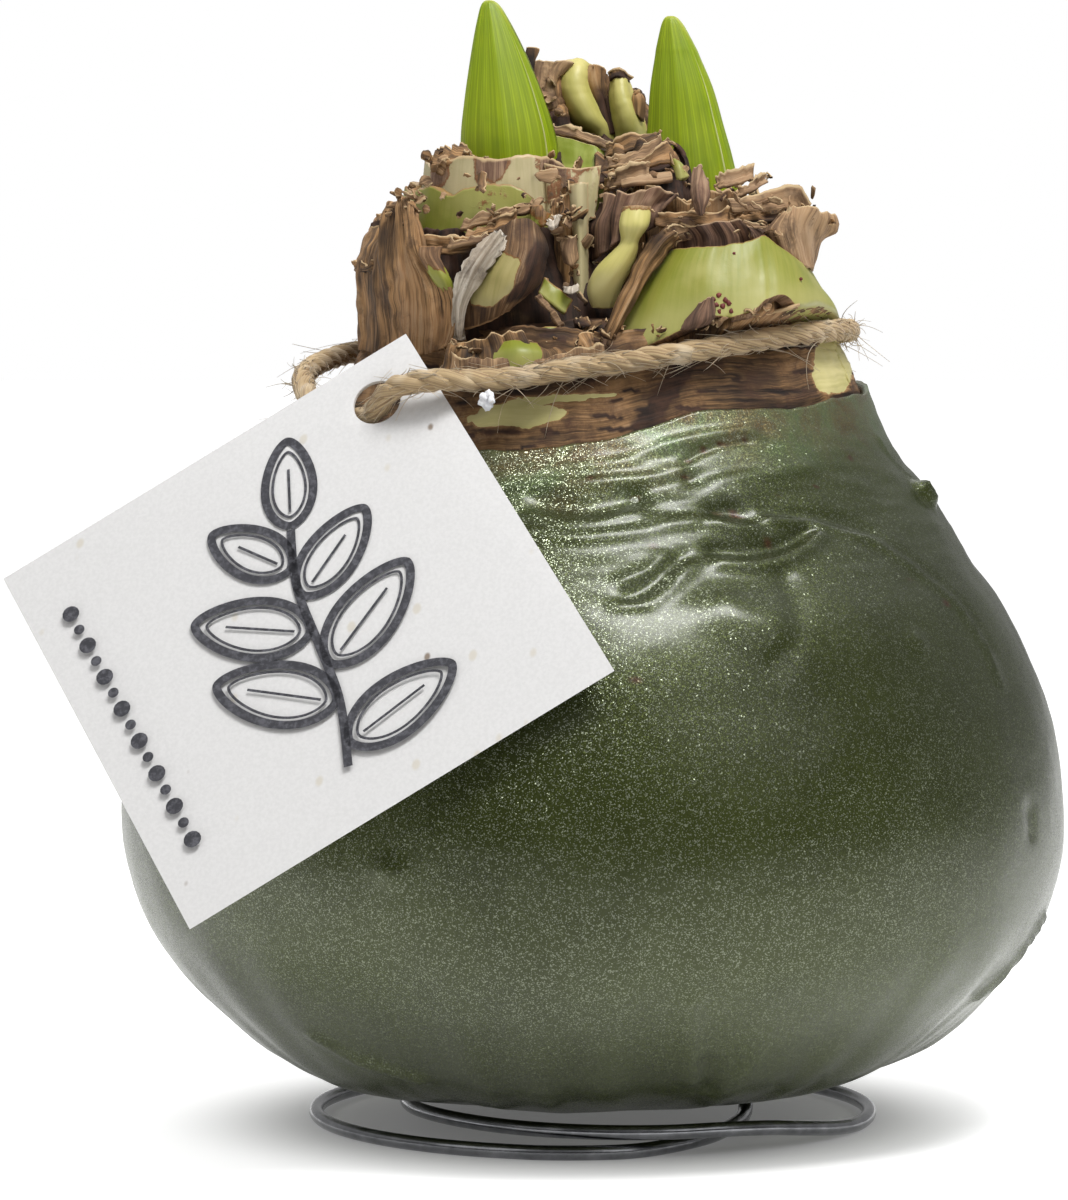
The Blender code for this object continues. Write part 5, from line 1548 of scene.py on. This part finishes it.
    dict(name="cleftBack", wall=0.5, paint=shadowPaint, folds=0.9, fibres=0.2, rows=[
        [(560, 330, -12.0), (600, 330, -12.0), (650, 330, -12.0), (700, 320, -12.0)],
        [(560, 240, -8.0), (600, 240, -6.0), (650, 240, -9.0), (700, 230, -10.0)],
        [(556, 166, -3.0), (600, 158, 2.0), (650, 160, -3.0), (690, 166, -7.0)],
        [(560, 150, 2.0), (600, 138, 6.0), (640, 138, 3.0), (676, 150, -4.0)]]),
    dict(name="capScrap", wall=0.4, dark=0.8, torn=0.7, folds=0.6, foldCount=5.0, rows=[
        [(606, 134, 8.2), (610, 135, 7.8), (614, 134, 8.4)],
        [(598, 106, 8.8), (603, 107, 8.2), (609, 106, 8.8)],
        [(590, 80, 9.2), (596, 82, 8.4), (605, 86, 9.0)],
        [(588, 65, 9.8), (596, 64, 9.0), (604, 71, 9.6)]]),
    dict(name="blackCap", wall=0.4, dark=1.3, torn=0.3, folds=0.2, rows=[
        [(613, 81, 8.2), (619, 78, 7.2), (628, 84, 8.2)],
        [(614, 73, 9.0), (619, 70, 8.2), (630, 78, 9.0)]]),
    dict(name="sideScrap", wall=0.4, dark=0.3, torn=0.4, rows=[
        [(632, 112, 7.0), (637, 116, 6.6), (641, 122, 7.2)],
        [(633, 90, 7.4), (637, 88, 7.0), (641, 92, 7.6)]]),
    dict(name="darkSpike", wall=0.5, dark=1.2, torn=0.2, folds=0.1, rows=[
        [(526, 80, 6.0), (529, 82, 5.6), (532, 80, 6.0)],
        [(527, 62, 6.4), (530, 62, 6.0), (532, 61, 6.4)],
        [(528, 48, 6.8), (531, 47, 6.4), (536, 48, 7.0)]]),
    dict(name="moldyRidge", wall=0.8, across=True, dark=0.3, torn=1.0, folds=0.6, rows=[
        [(430, 166, -7.0), (446, 163, -8.6), (462, 163, -9.0), (480, 166, -9.0)],
        [(438, 150, -4.0), (452, 146, -5.6), (464, 142, -6.4), (474, 154, -7.0)]]),
]


def makeNet(net, seed):
    look = dict(looks[net.get("look", "dry")], **net)
    bm = bmesh.new()
    sheet(bm, netSurface([seenLine(row) for row in net["rows"]]), look, seed)
    orientOutward(bm, neckMiddle)
    skin = net.get("skin", "dry")
    slot = "bulb_flesh" if skin in ("flesh", "shield", "green", "cream") else "dry_tunic"
    replaced = [net["node"]] if "node" in net else []
    finished(net["name"], bm, skins[skin], replaced, wall=look["wall"])


crumbs = {
    "count": 260,
    "size": (0.4, 1.6),
    "lines": [  # where torn bits have gathered: photograph's pixels and depths, along each line
        [(420, 168, -8.0), (460, 158, -9.0), (520, 164, -12.0), (590, 166, -9.0)],
        [(414, 192, -13.0), (470, 184, -15.5), (530, 182, -16.5), (575, 188, -14.0)],
        [(452, 226, -17.4), (500, 214, -18.0), (548, 200, -17.0), (566, 230, -17.6)],
        [(600, 196, -12.0), (640, 176, -14.6), (690, 176, -15.0), (728, 190, -15.6)],
        [(700, 200, -17.0), (750, 200, -17.4), (800, 206, -15.0), (826, 226, -9.0)],
        [(640, 236, -19.0), (690, 226, -19.4), (750, 224, -19.6), (790, 232, -18.0)],
        [(576, 318, -21.0), (592, 326, -22.0), (610, 330, -22.6), (604, 344, -24.0)],
        [(448, 352, -22.6), (500, 346, -24.0), (560, 342, -24.0), (600, 346, -23.8)],
        [(720, 186, -9.0), (752, 178, -9.0), (790, 186, -8.0), (815, 206, -5.0)],
        [(524, 66, 8.0), (548, 96, 6.4), (570, 124, 4.0), (610, 146, 0.0)],
        [(600, 180, -8.0), (622, 168, -9.0), (650, 150, -8.0), (668, 144, -6.0)],
        [(384, 222, -10.0), (398, 200, -13.0), (410, 196, -14.5), (420, 214, -16.6)],
        [(650, 330, -24.0), (700, 324, -25.0), (770, 318, -24.4), (820, 322, -20.0)],
        [(560, 240, -17.6), (574, 210, -16.6), (582, 250, -16.4), (560, 300, -19.0)],
        [(585, 190, -11.0), (592, 230, -13.0), (596, 260, -14.6), (588, 300, -16.0)],
    ],
    "around": 120,  # more of them in a ring round the back
    "ring": (11.0, 22.5),
    "ringHeight": (89.0, 91.0),
    "share": {"darkCrumbs": 0.55, "tanCrumbs": 0.45},
    "wall": 0.13,
}
beads = {  # the dots' and fluff's places are the photograph's pixels
    "dots": [(713, 299), (719, 295), (725, 300), (716, 305), (723, 306), (719, 312), (729, 303), (731, 311)],
    "dotDepth": -23.75,  # at the row below, and deeper by the slope for each row further down
    "dotRow": 290,
    "dotSlope": 0.032,
    "dotSize": 0.3,
    "smallDots": [(734, 253, -21.6), (801, 279, -19.0)],
    "smallSize": 0.17,
    "fluff": [(484, 397), (489, 395), (487, 401), (491, 400), (483, 402), (488, 405)],
    "fluffDepth": -29.9,
    "fluffSize": 0.45,
}


def makeBeads(name, scale, tints, roughness, places):
    skin = Finish(name)
    colour = skin.ramp(skin.grain(skin.place(), *scale), [(0.3, srgb(*tints[0])), (0.7, srgb(*tints[1]))])
    skin.set(Base_Color=colour, Roughness=roughness)
    bm = bmesh.new()
    for number, (place, size) in enumerate(places):
        for vert in bmesh.ops.create_uvsphere(bm, u_segments=12, v_segments=8, radius=size)["verts"]:
            lump = rough(vert.co.x * 3.0 + number, vert.co.y * 3.0, vert.co.z * 3.0)
            vert.co = place + vert.co * (1.0 + 0.5 * lump)
    finished(name, bm, skin.material)


def makeDotsAndFluff():
    # small dark red dots on the big leaf base, and a bit of white fluff caught in the twine
    dots = [(seen(px, py, beads["dotDepth"] - beads["dotSlope"] * (py - beads["dotRow"])), beads["dotSize"])
            for px, py in beads["dots"]]
    dots += [(seen(*place), beads["smallSize"]) for place in beads["smallDots"]]
    fluff = [(seen(px, py, beads["fluffDepth"] + 0.2 * (number % 3)), beads["fluffSize"] + 0.06 * (number % 3))
             for number, (px, py) in enumerate(beads["fluff"])]
    makeBeads("redDots", (900.0, 2.0), ((84, 26, 22), (116, 44, 36)), 0.6, dots)
    makeBeads("whiteFluff", (1500.0, 3.0), ((216, 216, 220), (238, 238, 240)), 0.9, fluff)


def makeCrumbs():
    rng = random.Random(5)
    for kind, skin, dark in (("darkCrumbs", "dry", 0.7), ("tanCrumbs", "tan", 0.2)):
        share = crumbs["share"][kind]
        bm = bmesh.new()
        look = dict(looks["dry"], torn=0.2, folds=0.25, dark=dark, curl=0.1, rim=0.08, fibres=0.05,
                    fewest=(4, 3), across=True)
        for number in range(round((crumbs["count"] + crumbs["around"]) * share)):
            if number < crumbs["count"] * share:
                line = seenLine(rng.choice(crumbs["lines"]))
                centre = Vector(spline(line, rng.uniform(0, len(line) - 1)))
                centre += Vector((rng.gauss(0, 0.7), rng.uniform(-0.5, 1.0), rng.gauss(0, 0.6)))
            else:
                turn = rng.uniform(0.1, math.pi - 0.1)
                reach = rng.uniform(*crumbs["ring"])
                height = rng.uniform(*crumbs["ringHeight"]) + (crumbs["ring"][1] - reach) * 0.25
                centre = Vector((neckMiddle[0] + reach * math.cos(turn), reach * math.sin(turn) * 0.95, height))
            size = rng.uniform(*crumbs["size"]) * rng.choice((0.5, 0.7, 0.9, 1.1))
            lengthwise = Vector((rng.gauss(0, 1), rng.gauss(0, 0.5), rng.gauss(0, 0.5))).normalized()
            upward = Vector((rng.gauss(0, 0.6), rng.gauss(0, 0.6), rng.gauss(0, 1))).normalized()
            upward = (upward - lengthwise * upward.dot(lengthwise)).normalized()
            out = lengthwise.cross(upward)
            wide = size * rng.uniform(0.5, 1.0)
            tall = size * rng.uniform(0.25, 0.6)
            bend = size * rng.uniform(-0.25, 0.25)
            rows = []
            for v in (-1.0, 0.0, 1.0):
                row = []
                for u in (-1.0, 0.0, 1.0):
                    place = centre + lengthwise * wide * (u * (1.0 - 0.3 * v * v) + rng.uniform(-0.2, 0.2))
                    place += upward * tall * (v * (1.0 - 0.4 * u * u) + rng.uniform(-0.25, 0.25))
                    row.append(tuple(place + out * bend * (u * u + 0.6 * v * v)))
                rows.append(row)
            sheet(bm, netSurface(rows), look, rng.uniform(0, 90))
        finished(kind, bm, skins[skin], wall=crumbs["wall"])


for net in nets:
    makeNet(net, seeds.uniform(0.0, 90.0))
makeCrumbs()
makeDotsAndFluff()
print("torn pieces in front made")


# Stubs and shoots

stubs = [
    dict(name="leafBaseCleft", node="leaf_base_cleft", depth=0.8,
         axis=seenLine([(603, 309, -17.5), (604, 290, -18.2), (612, 271, -18.8), (625, 251, -19.2),
                        (630, 240, -19.4), (634, 225, -19.6), (637, 205, -18.8)]),
         radii=[1.1, 1.8, 1.95, 1.35, 1.0, 1.6, 1.5]),
]
shoots = [
    dict(name="sproutLeft", node="sprout_left", nose=leftNose, foot=96.3, tip=(-11.4, 0.6, 123.6)),
    dict(name="sproutRight", node="sprout_right", nose=(10.9, 0.4), foot=95.3, tip=(8.6, 1.0, 121.9),
         profile=[(0.0, 0.9), (0.12, 0.99), (0.3, 0.99), (0.42, 0.91), (0.55, 0.78), (0.7, 0.64), (0.83, 0.445),
                  (0.87, 0.385), (0.95, 0.23), (0.98, 0.155), (0.993, 0.1), (1.0, 0.03)]),
]
shoot = {"halfWidth": 5.3, "halfDepth": 3.6, "sides": 72, "rings": 110, "corner": 1.8, "bladeCells": (64, 80),
         "profile": [(0.0, 0.86), (0.12, 0.96), (0.3, 1.01), (0.45, 0.98), (0.6, 0.82), (0.74, 0.62), (0.87, 0.4),
                     (0.95, 0.24), (0.98, 0.16), (0.993, 0.1), (1.0, 0.03)]}


def ballAlong(bm, axis, radii, depth, sides, rings, relief, corner=2.0):
    # a ball drawn out along an axis, its width given by radii and relief
    before = set(bm.verts)
    bmesh.ops.create_uvsphere(bm, u_segments=sides, v_segments=rings, radius=1.0, calc_uvs=True)
    fresh = [vert for vert in bm.verts if vert not in before]
    for vert in fresh:
        turn = math.atan2(vert.co.y, vert.co.x)
        share = latitude(vert)
        atPole = share < 0.001 or share > 0.999
        width = 0.0 if atPole else along(radii, share) + relief(turn, share)
        x, y = squircle(turn, 2.0 / corner)
        vert.co = Vector(splineAt(axis, share)) + Vector((x * width, y * width * depth, 0.0))
    return fresh


def stretchUv(faces, uv, across, up):
    for face in faces:
        for loop in face.loops:
            loop[uv].uv.x *= across
            loop[uv].uv.y *= up


def makeStub(stub, seed):
    bm = bmesh.new()
    layers, uv = paintLayers(bm)

    def relief(turn, share):
        return 0.12 * rough(math.cos(turn) * 2, math.sin(turn) * 2, share * 6 + seed)

    fresh = ballAlong(bm, stub["axis"], stub["radii"], stub["depth"], 40, 60, relief)
    low = stub["axis"][0][2]
    high = stub["axis"][-1][2]
    for vert in fresh:
        share = (vert.co.z - low) / (high - low)
        vert[layers["dry"]] = smoothStep(share, 0.86, 1.0) * 0.7 + 0.2 * rough(*vert.co)
        worn = smoothStep(rough(vert.co.x * 0.6, vert.co.y, vert.co.z * 0.8), -0.1, 0.4)
        vert[layers["rim"]] = 0.8 * bell(share - 0.56, 0.09) * worn
        vert[layers["pale"]] = 0.9 * smoothStep(0.5 - share, 0.0, 0.3)
    stretchUv(bm.faces, uv, 1.2, 1.6)
    finished(stub["name"], bm, skins["cream"], [stub["node"]])


def shootFinish():
    leaf = Finish("limeShoot")
    uv = leaf.uv()
    point = leaf.place()
    up = leaf.attribute("up")
    margin = leaf.attribute("margin")
    vein = leaf.grain(leaf.stretched(uv, (34.0, 0.7, 1.0)), 1.0, 3.0, 0.6)
    fine = leaf.grain(leaf.stretched(uv, (120.0, 2.0, 1.0)), 1.0, 2.0)
    cloud = leaf.grain(point, 120.0, 3.0)
    body = leaf.ramp(up, [
        (0.0, srgb(164, 174, 66)), (0.18, srgb(132, 148, 10)), (0.5, srgb(110, 131, 0)),
        (0.85, srgb(122, 139, 10)), (0.96, srgb(154, 158, 52)), (1.0, srgb(182, 178, 104)),
    ])
    body = leaf.blend(leaf.between(vein, 0.4, 0.68) * 0.42, body, srgb(176, 196, 22))
    body = leaf.blend(leaf.between(cloud, 0.46, 0.7) * 0.5, body, srgb(96, 124, 0))
    body = leaf.blend((margin * 0.8).held(), body, srgb(204, 206, 150))
    leaf.set(Base_Color=body, Roughness=0.42, Specular_IOR_Level=0.36)
    leaf.set(Normal=leaf.bump(vein * 0.7 + fine * 0.3, 0.3, 0.15))
    leaf.set(Subsurface_Weight=0.12, Subsurface_Radius=(0.4, 0.8, 0.1), Subsurface_Scale=0.003)
    return leaf.material


shootSkin = shootFinish()


def makeShoot(spec, seed):
    bm = bmesh.new()
    layers, uv = paintLayers(bm, ("up", "margin"))
    deep = shoot["halfDepth"] / shoot["halfWidth"]
    rise = spec["tip"][2] - spec["foot"]
    axis = []
    radii = []
    for share, width in spec.get("profile", shoot["profile"]):
        x, y = (mixed(spec["nose"][i], spec["tip"][i], share * share) for i in (0, 1))
        axis.append((x, y, spec["foot"] + rise * share))
        radii.append(width * shoot["halfWidth"])

    def relief(turn, share):
        ribs = 0.05 * math.sin(turn * 14 + seed) * (1.0 - share)
        keel = 0.16 * bell(abs(turn + 1.75), 0.16) - 0.22 * bell(abs(turn + 1.28), 0.14)
        return ribs + keel * (1.0 - share)

    for vert in ballAlong(bm, axis, radii, deep, shoot["sides"], shoot["rings"], relief, shoot["corner"]):
        vert[layers["up"]] = min(1.0, max(0.0, (vert.co.z - spec["foot"]) / rise))
    stretchUv(bm.faces, uv, 2.6, 2.7)
    # a leaf in front and one behind, wrapped round the inner one, with pale margins
    for low, high, out in ((-170.0, -38.0, 0.32), (8.0, 172.0, 0.3)):
        blade = newGrid(bm, *shoot["bladeCells"])
        for vert in blade:
            u = vert.co.x + 0.5
            v = (vert.co.y + 0.5) * 0.985
            closing = smoothStep(v, 0.55, 1.0)
            middle = (low + high) / 2
            turn = math.radians(mixed(mixed(low, high, u), middle, closing * 0.25))
            width = along(radii, v) + out + relief(turn, v) * 1.3
            width -= smoothStep(abs(u - 0.5), 0.44, 0.5) * out * 0.75
            x, y = squircle(turn, 2.0 / shoot["corner"])
            vert.co = Vector(splineAt(axis, v)) + Vector((x * width, y * (width * deep + out * 0.3), 0.0))
            vert[layers["up"]] = v
            vert[layers["margin"]] = smoothStep(abs(u - 0.5), 0.455, 0.5)
        faces = list(facesOf(blade))
        stretchUv(faces, uv, 1.3, 2.7)
        bmesh.ops.recalc_face_normals(bm, faces=faces)
        probe = faces[len(faces) // 2]
        middle = probe.calc_center_median()
        if probe.normal.dot(middle - Vector((spec["nose"][0], spec["nose"][1], middle.z))) < 0:
            bmesh.ops.reverse_faces(bm, faces=faces)
    finished(spec["name"], bm, shootSkin, [spec["node"]])


for number, stub in enumerate(stubs):
    makeStub(stub, number * 9.0)
for number, spec in enumerate(shoots):
    makeShoot(spec, number * 2.0)
print("stubs and shoots made")


# Wire stand

wire = {
    "radius": 0.8,
    "sides": 14,
    "points": 620,
    "ringRadius": 30.7,
    "innerTurnRadius": 20.6,
    "crossingHeight": 2.85,
    "innerTurnHeight": 2.35,
    "pinPlace": (17.0, -2.0),
    "pinTop": 12.0,
    "firstTurn": -98.0,  # degrees: where the ring starts, and how far the ring and the inner turn go
    "ringSpan": 326.0,
    "innerSpan": 235.0,
    "ringSteps": 30,
    "innerSteps": 20,
}


def wireRoute():
    x, y = wire["pinPlace"]
    rest = wire["radius"]
    lead = [(x, y, wire["pinTop"]), (x, y, 8.0), (x, y, 4.8), (x, y, 3.5), (x - 0.1, y - 0.8, 1.7),
            (x - 0.3, y - 2.4, 0.95), (15.8, -9.0, rest), (12.8, -18.4, rest), (8.2, -25.4, rest),
            (3.0, -29.6, rest)]
    ring = []
    for i in range(wire["ringSteps"] + 1):
        share = i / wire["ringSteps"]
        turn = math.radians(wire["firstTurn"] - wire["ringSpan"] * share)
        height = rest + (wire["crossingHeight"] - rest) * smoothStep(share, 0.86, 1.0)
        ring.append((wire["ringRadius"] * math.cos(turn), wire["ringRadius"] * math.sin(turn), height))
    inner = []
    for i in range(1, wire["innerSteps"] + 1):
        share = i / wire["innerSteps"]
        turn = math.radians(wire["firstTurn"] - wire["ringSpan"] - wire["innerSpan"] * share)
        radius = mixed(wire["ringRadius"], wire["innerTurnRadius"], smoothStep(share, 0.0, 0.5))
        height = mixed(wire["crossingHeight"], wire["innerTurnHeight"], smoothStep(share, 0.25, 0.5))
        inner.append((radius * math.cos(turn), radius * math.sin(turn), height))
    return lead + ring + inner


def steelFinish():
    steel = Finish("drawnSteel")
    uv = steel.uv()
    drawn = steel.grain(steel.stretched(uv, (0.8, 60.0, 1.0)), 1.0, 2.0)
    spots = steel.grain(steel.place(), 500.0, 4.0, 0.6)
    steel.set(Base_Color=steel.ramp(spots, [(0.3, srgb(112, 113, 116)), (0.7, srgb(144, 145, 148))]),
              Metallic=1.0, Roughness=mixedSignal(spots, 0.14, 0.24), Normal=steel.bump(drawn, 0.25, 0.05))
    return steel.material


def makeWire():
    points = evenCurve(wireRoute(), wire["points"])
    for point in points:
        point.z = max(point.z, wire["radius"])
    bm = bmesh.new()

    def reach(share, turn):
        end = min(share, 1.0 - share) * wire["points"]
        return wire["radius"] * (0.55 + 0.45 * smoothStep(end, 0.0, 1.5))

    tube(bm, points, reach, wire["sides"])
    bmesh.ops.recalc_face_normals(bm, faces=bm.faces)
    finished("wireStand", bm, steelFinish(), ["wire_stand"])


makeWire()
print("wire made")


# Bulb inside, floor and light

def bulbFinish():
    skin = Finish("bulbInside")
    point = skin.place()
    streak = skin.grain(skin.stretched(point, (260.0, 260.0, 26.0)), 1.0, 4.0, 0.6)
    mottle = skin.grain(point, 300.0, 5.0, 0.65)
    colour = skin.ramp(skin.between(streak, 0.35, 0.65), [(0.0, srgb(40, 26, 18)), (1.0, srgb(92, 62, 40))])
    colour = skin.blend(skin.between(mottle, 0.5, 0.7) * 0.5, colour, srgb(28, 18, 12))
    skin.set(Base_Color=colour, Roughness=0.85, Normal=skin.bump(mottle, 0.8, 0.4))
    return skin.material


def dressBulb():
    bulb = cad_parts["bulb"]
    bulb.data.materials.clear()
    bulb.data.materials.append(bulbFinish())


studio = {
    "floorSize": 9000.0,
    "floorGlow": 0.66,
    "cameraWhite": 1.0,
    "front": 0.045,  # how bright the world is from the camera's side, and from above, behind and below
    "above": 0.72,
    "behind": 0.36,
    "below": 0.3,
    "lights": [  # name, place, what it points at, width, height, power
        ("softboxOver", (112.0, -192.0, 556.0), (0.0, 0.0, 60.0), 240.0, 160.0, 2.85),
        ("softboxRight", (260.0, -330.0, 300.0), (0.0, 0.0, 62.0), 260.0, 260.0, 0.22),
        ("softboxLeft", (-320.0, -260.0, 280.0), (0.0, 0.0, 62.0), 260.0, 260.0, 0.16),
        ("softboxBehind", (-60.0, 420.0, 460.0), (0.0, 0.0, 62.0), 620.0, 300.0, 0.9),
    ],
}


def makeWorld():
    world = bpy.data.worlds.new("studio")
    bpy.context.scene.world = world
    world.use_nodes = True
    tree = world.node_tree
    tree.nodes.clear()

    def node(kind, settings=None, sockets=None):
        made = tree.nodes.new(kind)
        for key, value in (settings or {}).items():
            setattr(made, key, value)
        for key, value in (sockets or {}).items():
            if isinstance(value, bpy.types.NodeSocket):
                tree.links.new(value, made.inputs[key])
            else:
                made.inputs[key].default_value = value
        return made

    way = node("ShaderNodeTexCoord").outputs["Generated"]
    parts = node("ShaderNodeSeparateXYZ", sockets={0: way}).outputs

    def eased(axis, fromMin, fromMax, toMin, toMax):
        sockets = {0: parts[axis], 1: fromMin, 2: fromMax, 3: toMin, 4: toMax}
        return node("ShaderNodeMapRange", {"interpolation_type": "SMOOTHSTEP"}, sockets).outputs[0]

    def mix(share, a, b):
        return node("ShaderNodeMix", {"data_type": "FLOAT"}, {0: share, 2: a, 3: b}).outputs[0]

    def white(strength):
        sockets = {"Color": (1.0, 1.0, 1.0, 1.0), "Strength": strength}
        return node("ShaderNodeBackground", sockets=sockets).outputs[0]

    glow = eased("Y", -0.75, 0.45, studio["front"], studio["behind"])
    glow = mix(eased("Z", 0.25, 0.85, 0.0, 1.0), glow, studio["above"])
    glow = mix(eased("Z", -0.25, -0.02, 1.0, 0.0), glow, studio["below"])
    path = node("ShaderNodeLightPath").outputs["Is Camera Ray"]
    both = node("ShaderNodeMixShader", sockets={0: path, 1: white(glow), 2: white(studio["cameraWhite"])})
    tree.links.new(both.outputs[0], node("ShaderNodeOutputWorld").inputs["Surface"])


def makeStudio():
    bm = bmesh.new()
    bmesh.ops.create_grid(bm, x_segments=1, y_segments=1, size=studio["floorSize"])
    paint = Finish("paleFloor")
    # The floor glows. Its glow is dim within 26 mm of the middle and full by 50 mm, a painted shadow round the
    # stand. It is gone further than 100 mm in front, fading in by 62 mm, a painted shade that keeps the wax's
    # reflection of the floor dark.
    spread = paint.vector("LENGTH", {0: paint.place()}, "Value")
    glow = paint.ramp(paint.between(spread, 0.026, 0.05), [(0.0, (0.17, 0.17, 0.17)), (1.0, (1.0, 1.0, 1.0))])
    ahead = paint.node("ShaderNodeSeparateXYZ", {}, {0: paint.place()}, output="Y")
    glow = paint.blend(paint.between(ahead, -0.1, -0.062), (0.0, 0.0, 0.0), glow)
    paint.set(Base_Color=(0.82, 0.82, 0.82), Roughness=0.6, Specular_IOR_Level=0.2, Emission_Color=glow)
    paint.set(Emission_Strength=studio["floorGlow"])
    floor = meshed("floor", bm, paint.material, False)
    makeWorld()
    for name, place, aim, wide, tall, power in studio["lights"]:
        data = bpy.data.lights.new(name, "AREA")
        data.shape = "RECTANGLE"
        data.size = wide * mm
        data.size_y = tall * mm
        data.energy = power
        light = linked(name, data)
        light.location = Vector(place) * mm
        light.rotation_euler = (Vector(aim) - Vector(place)).to_track_quat("-Z", "Y").to_euler()


dressBulb()
makeStudio()
print("studio set")
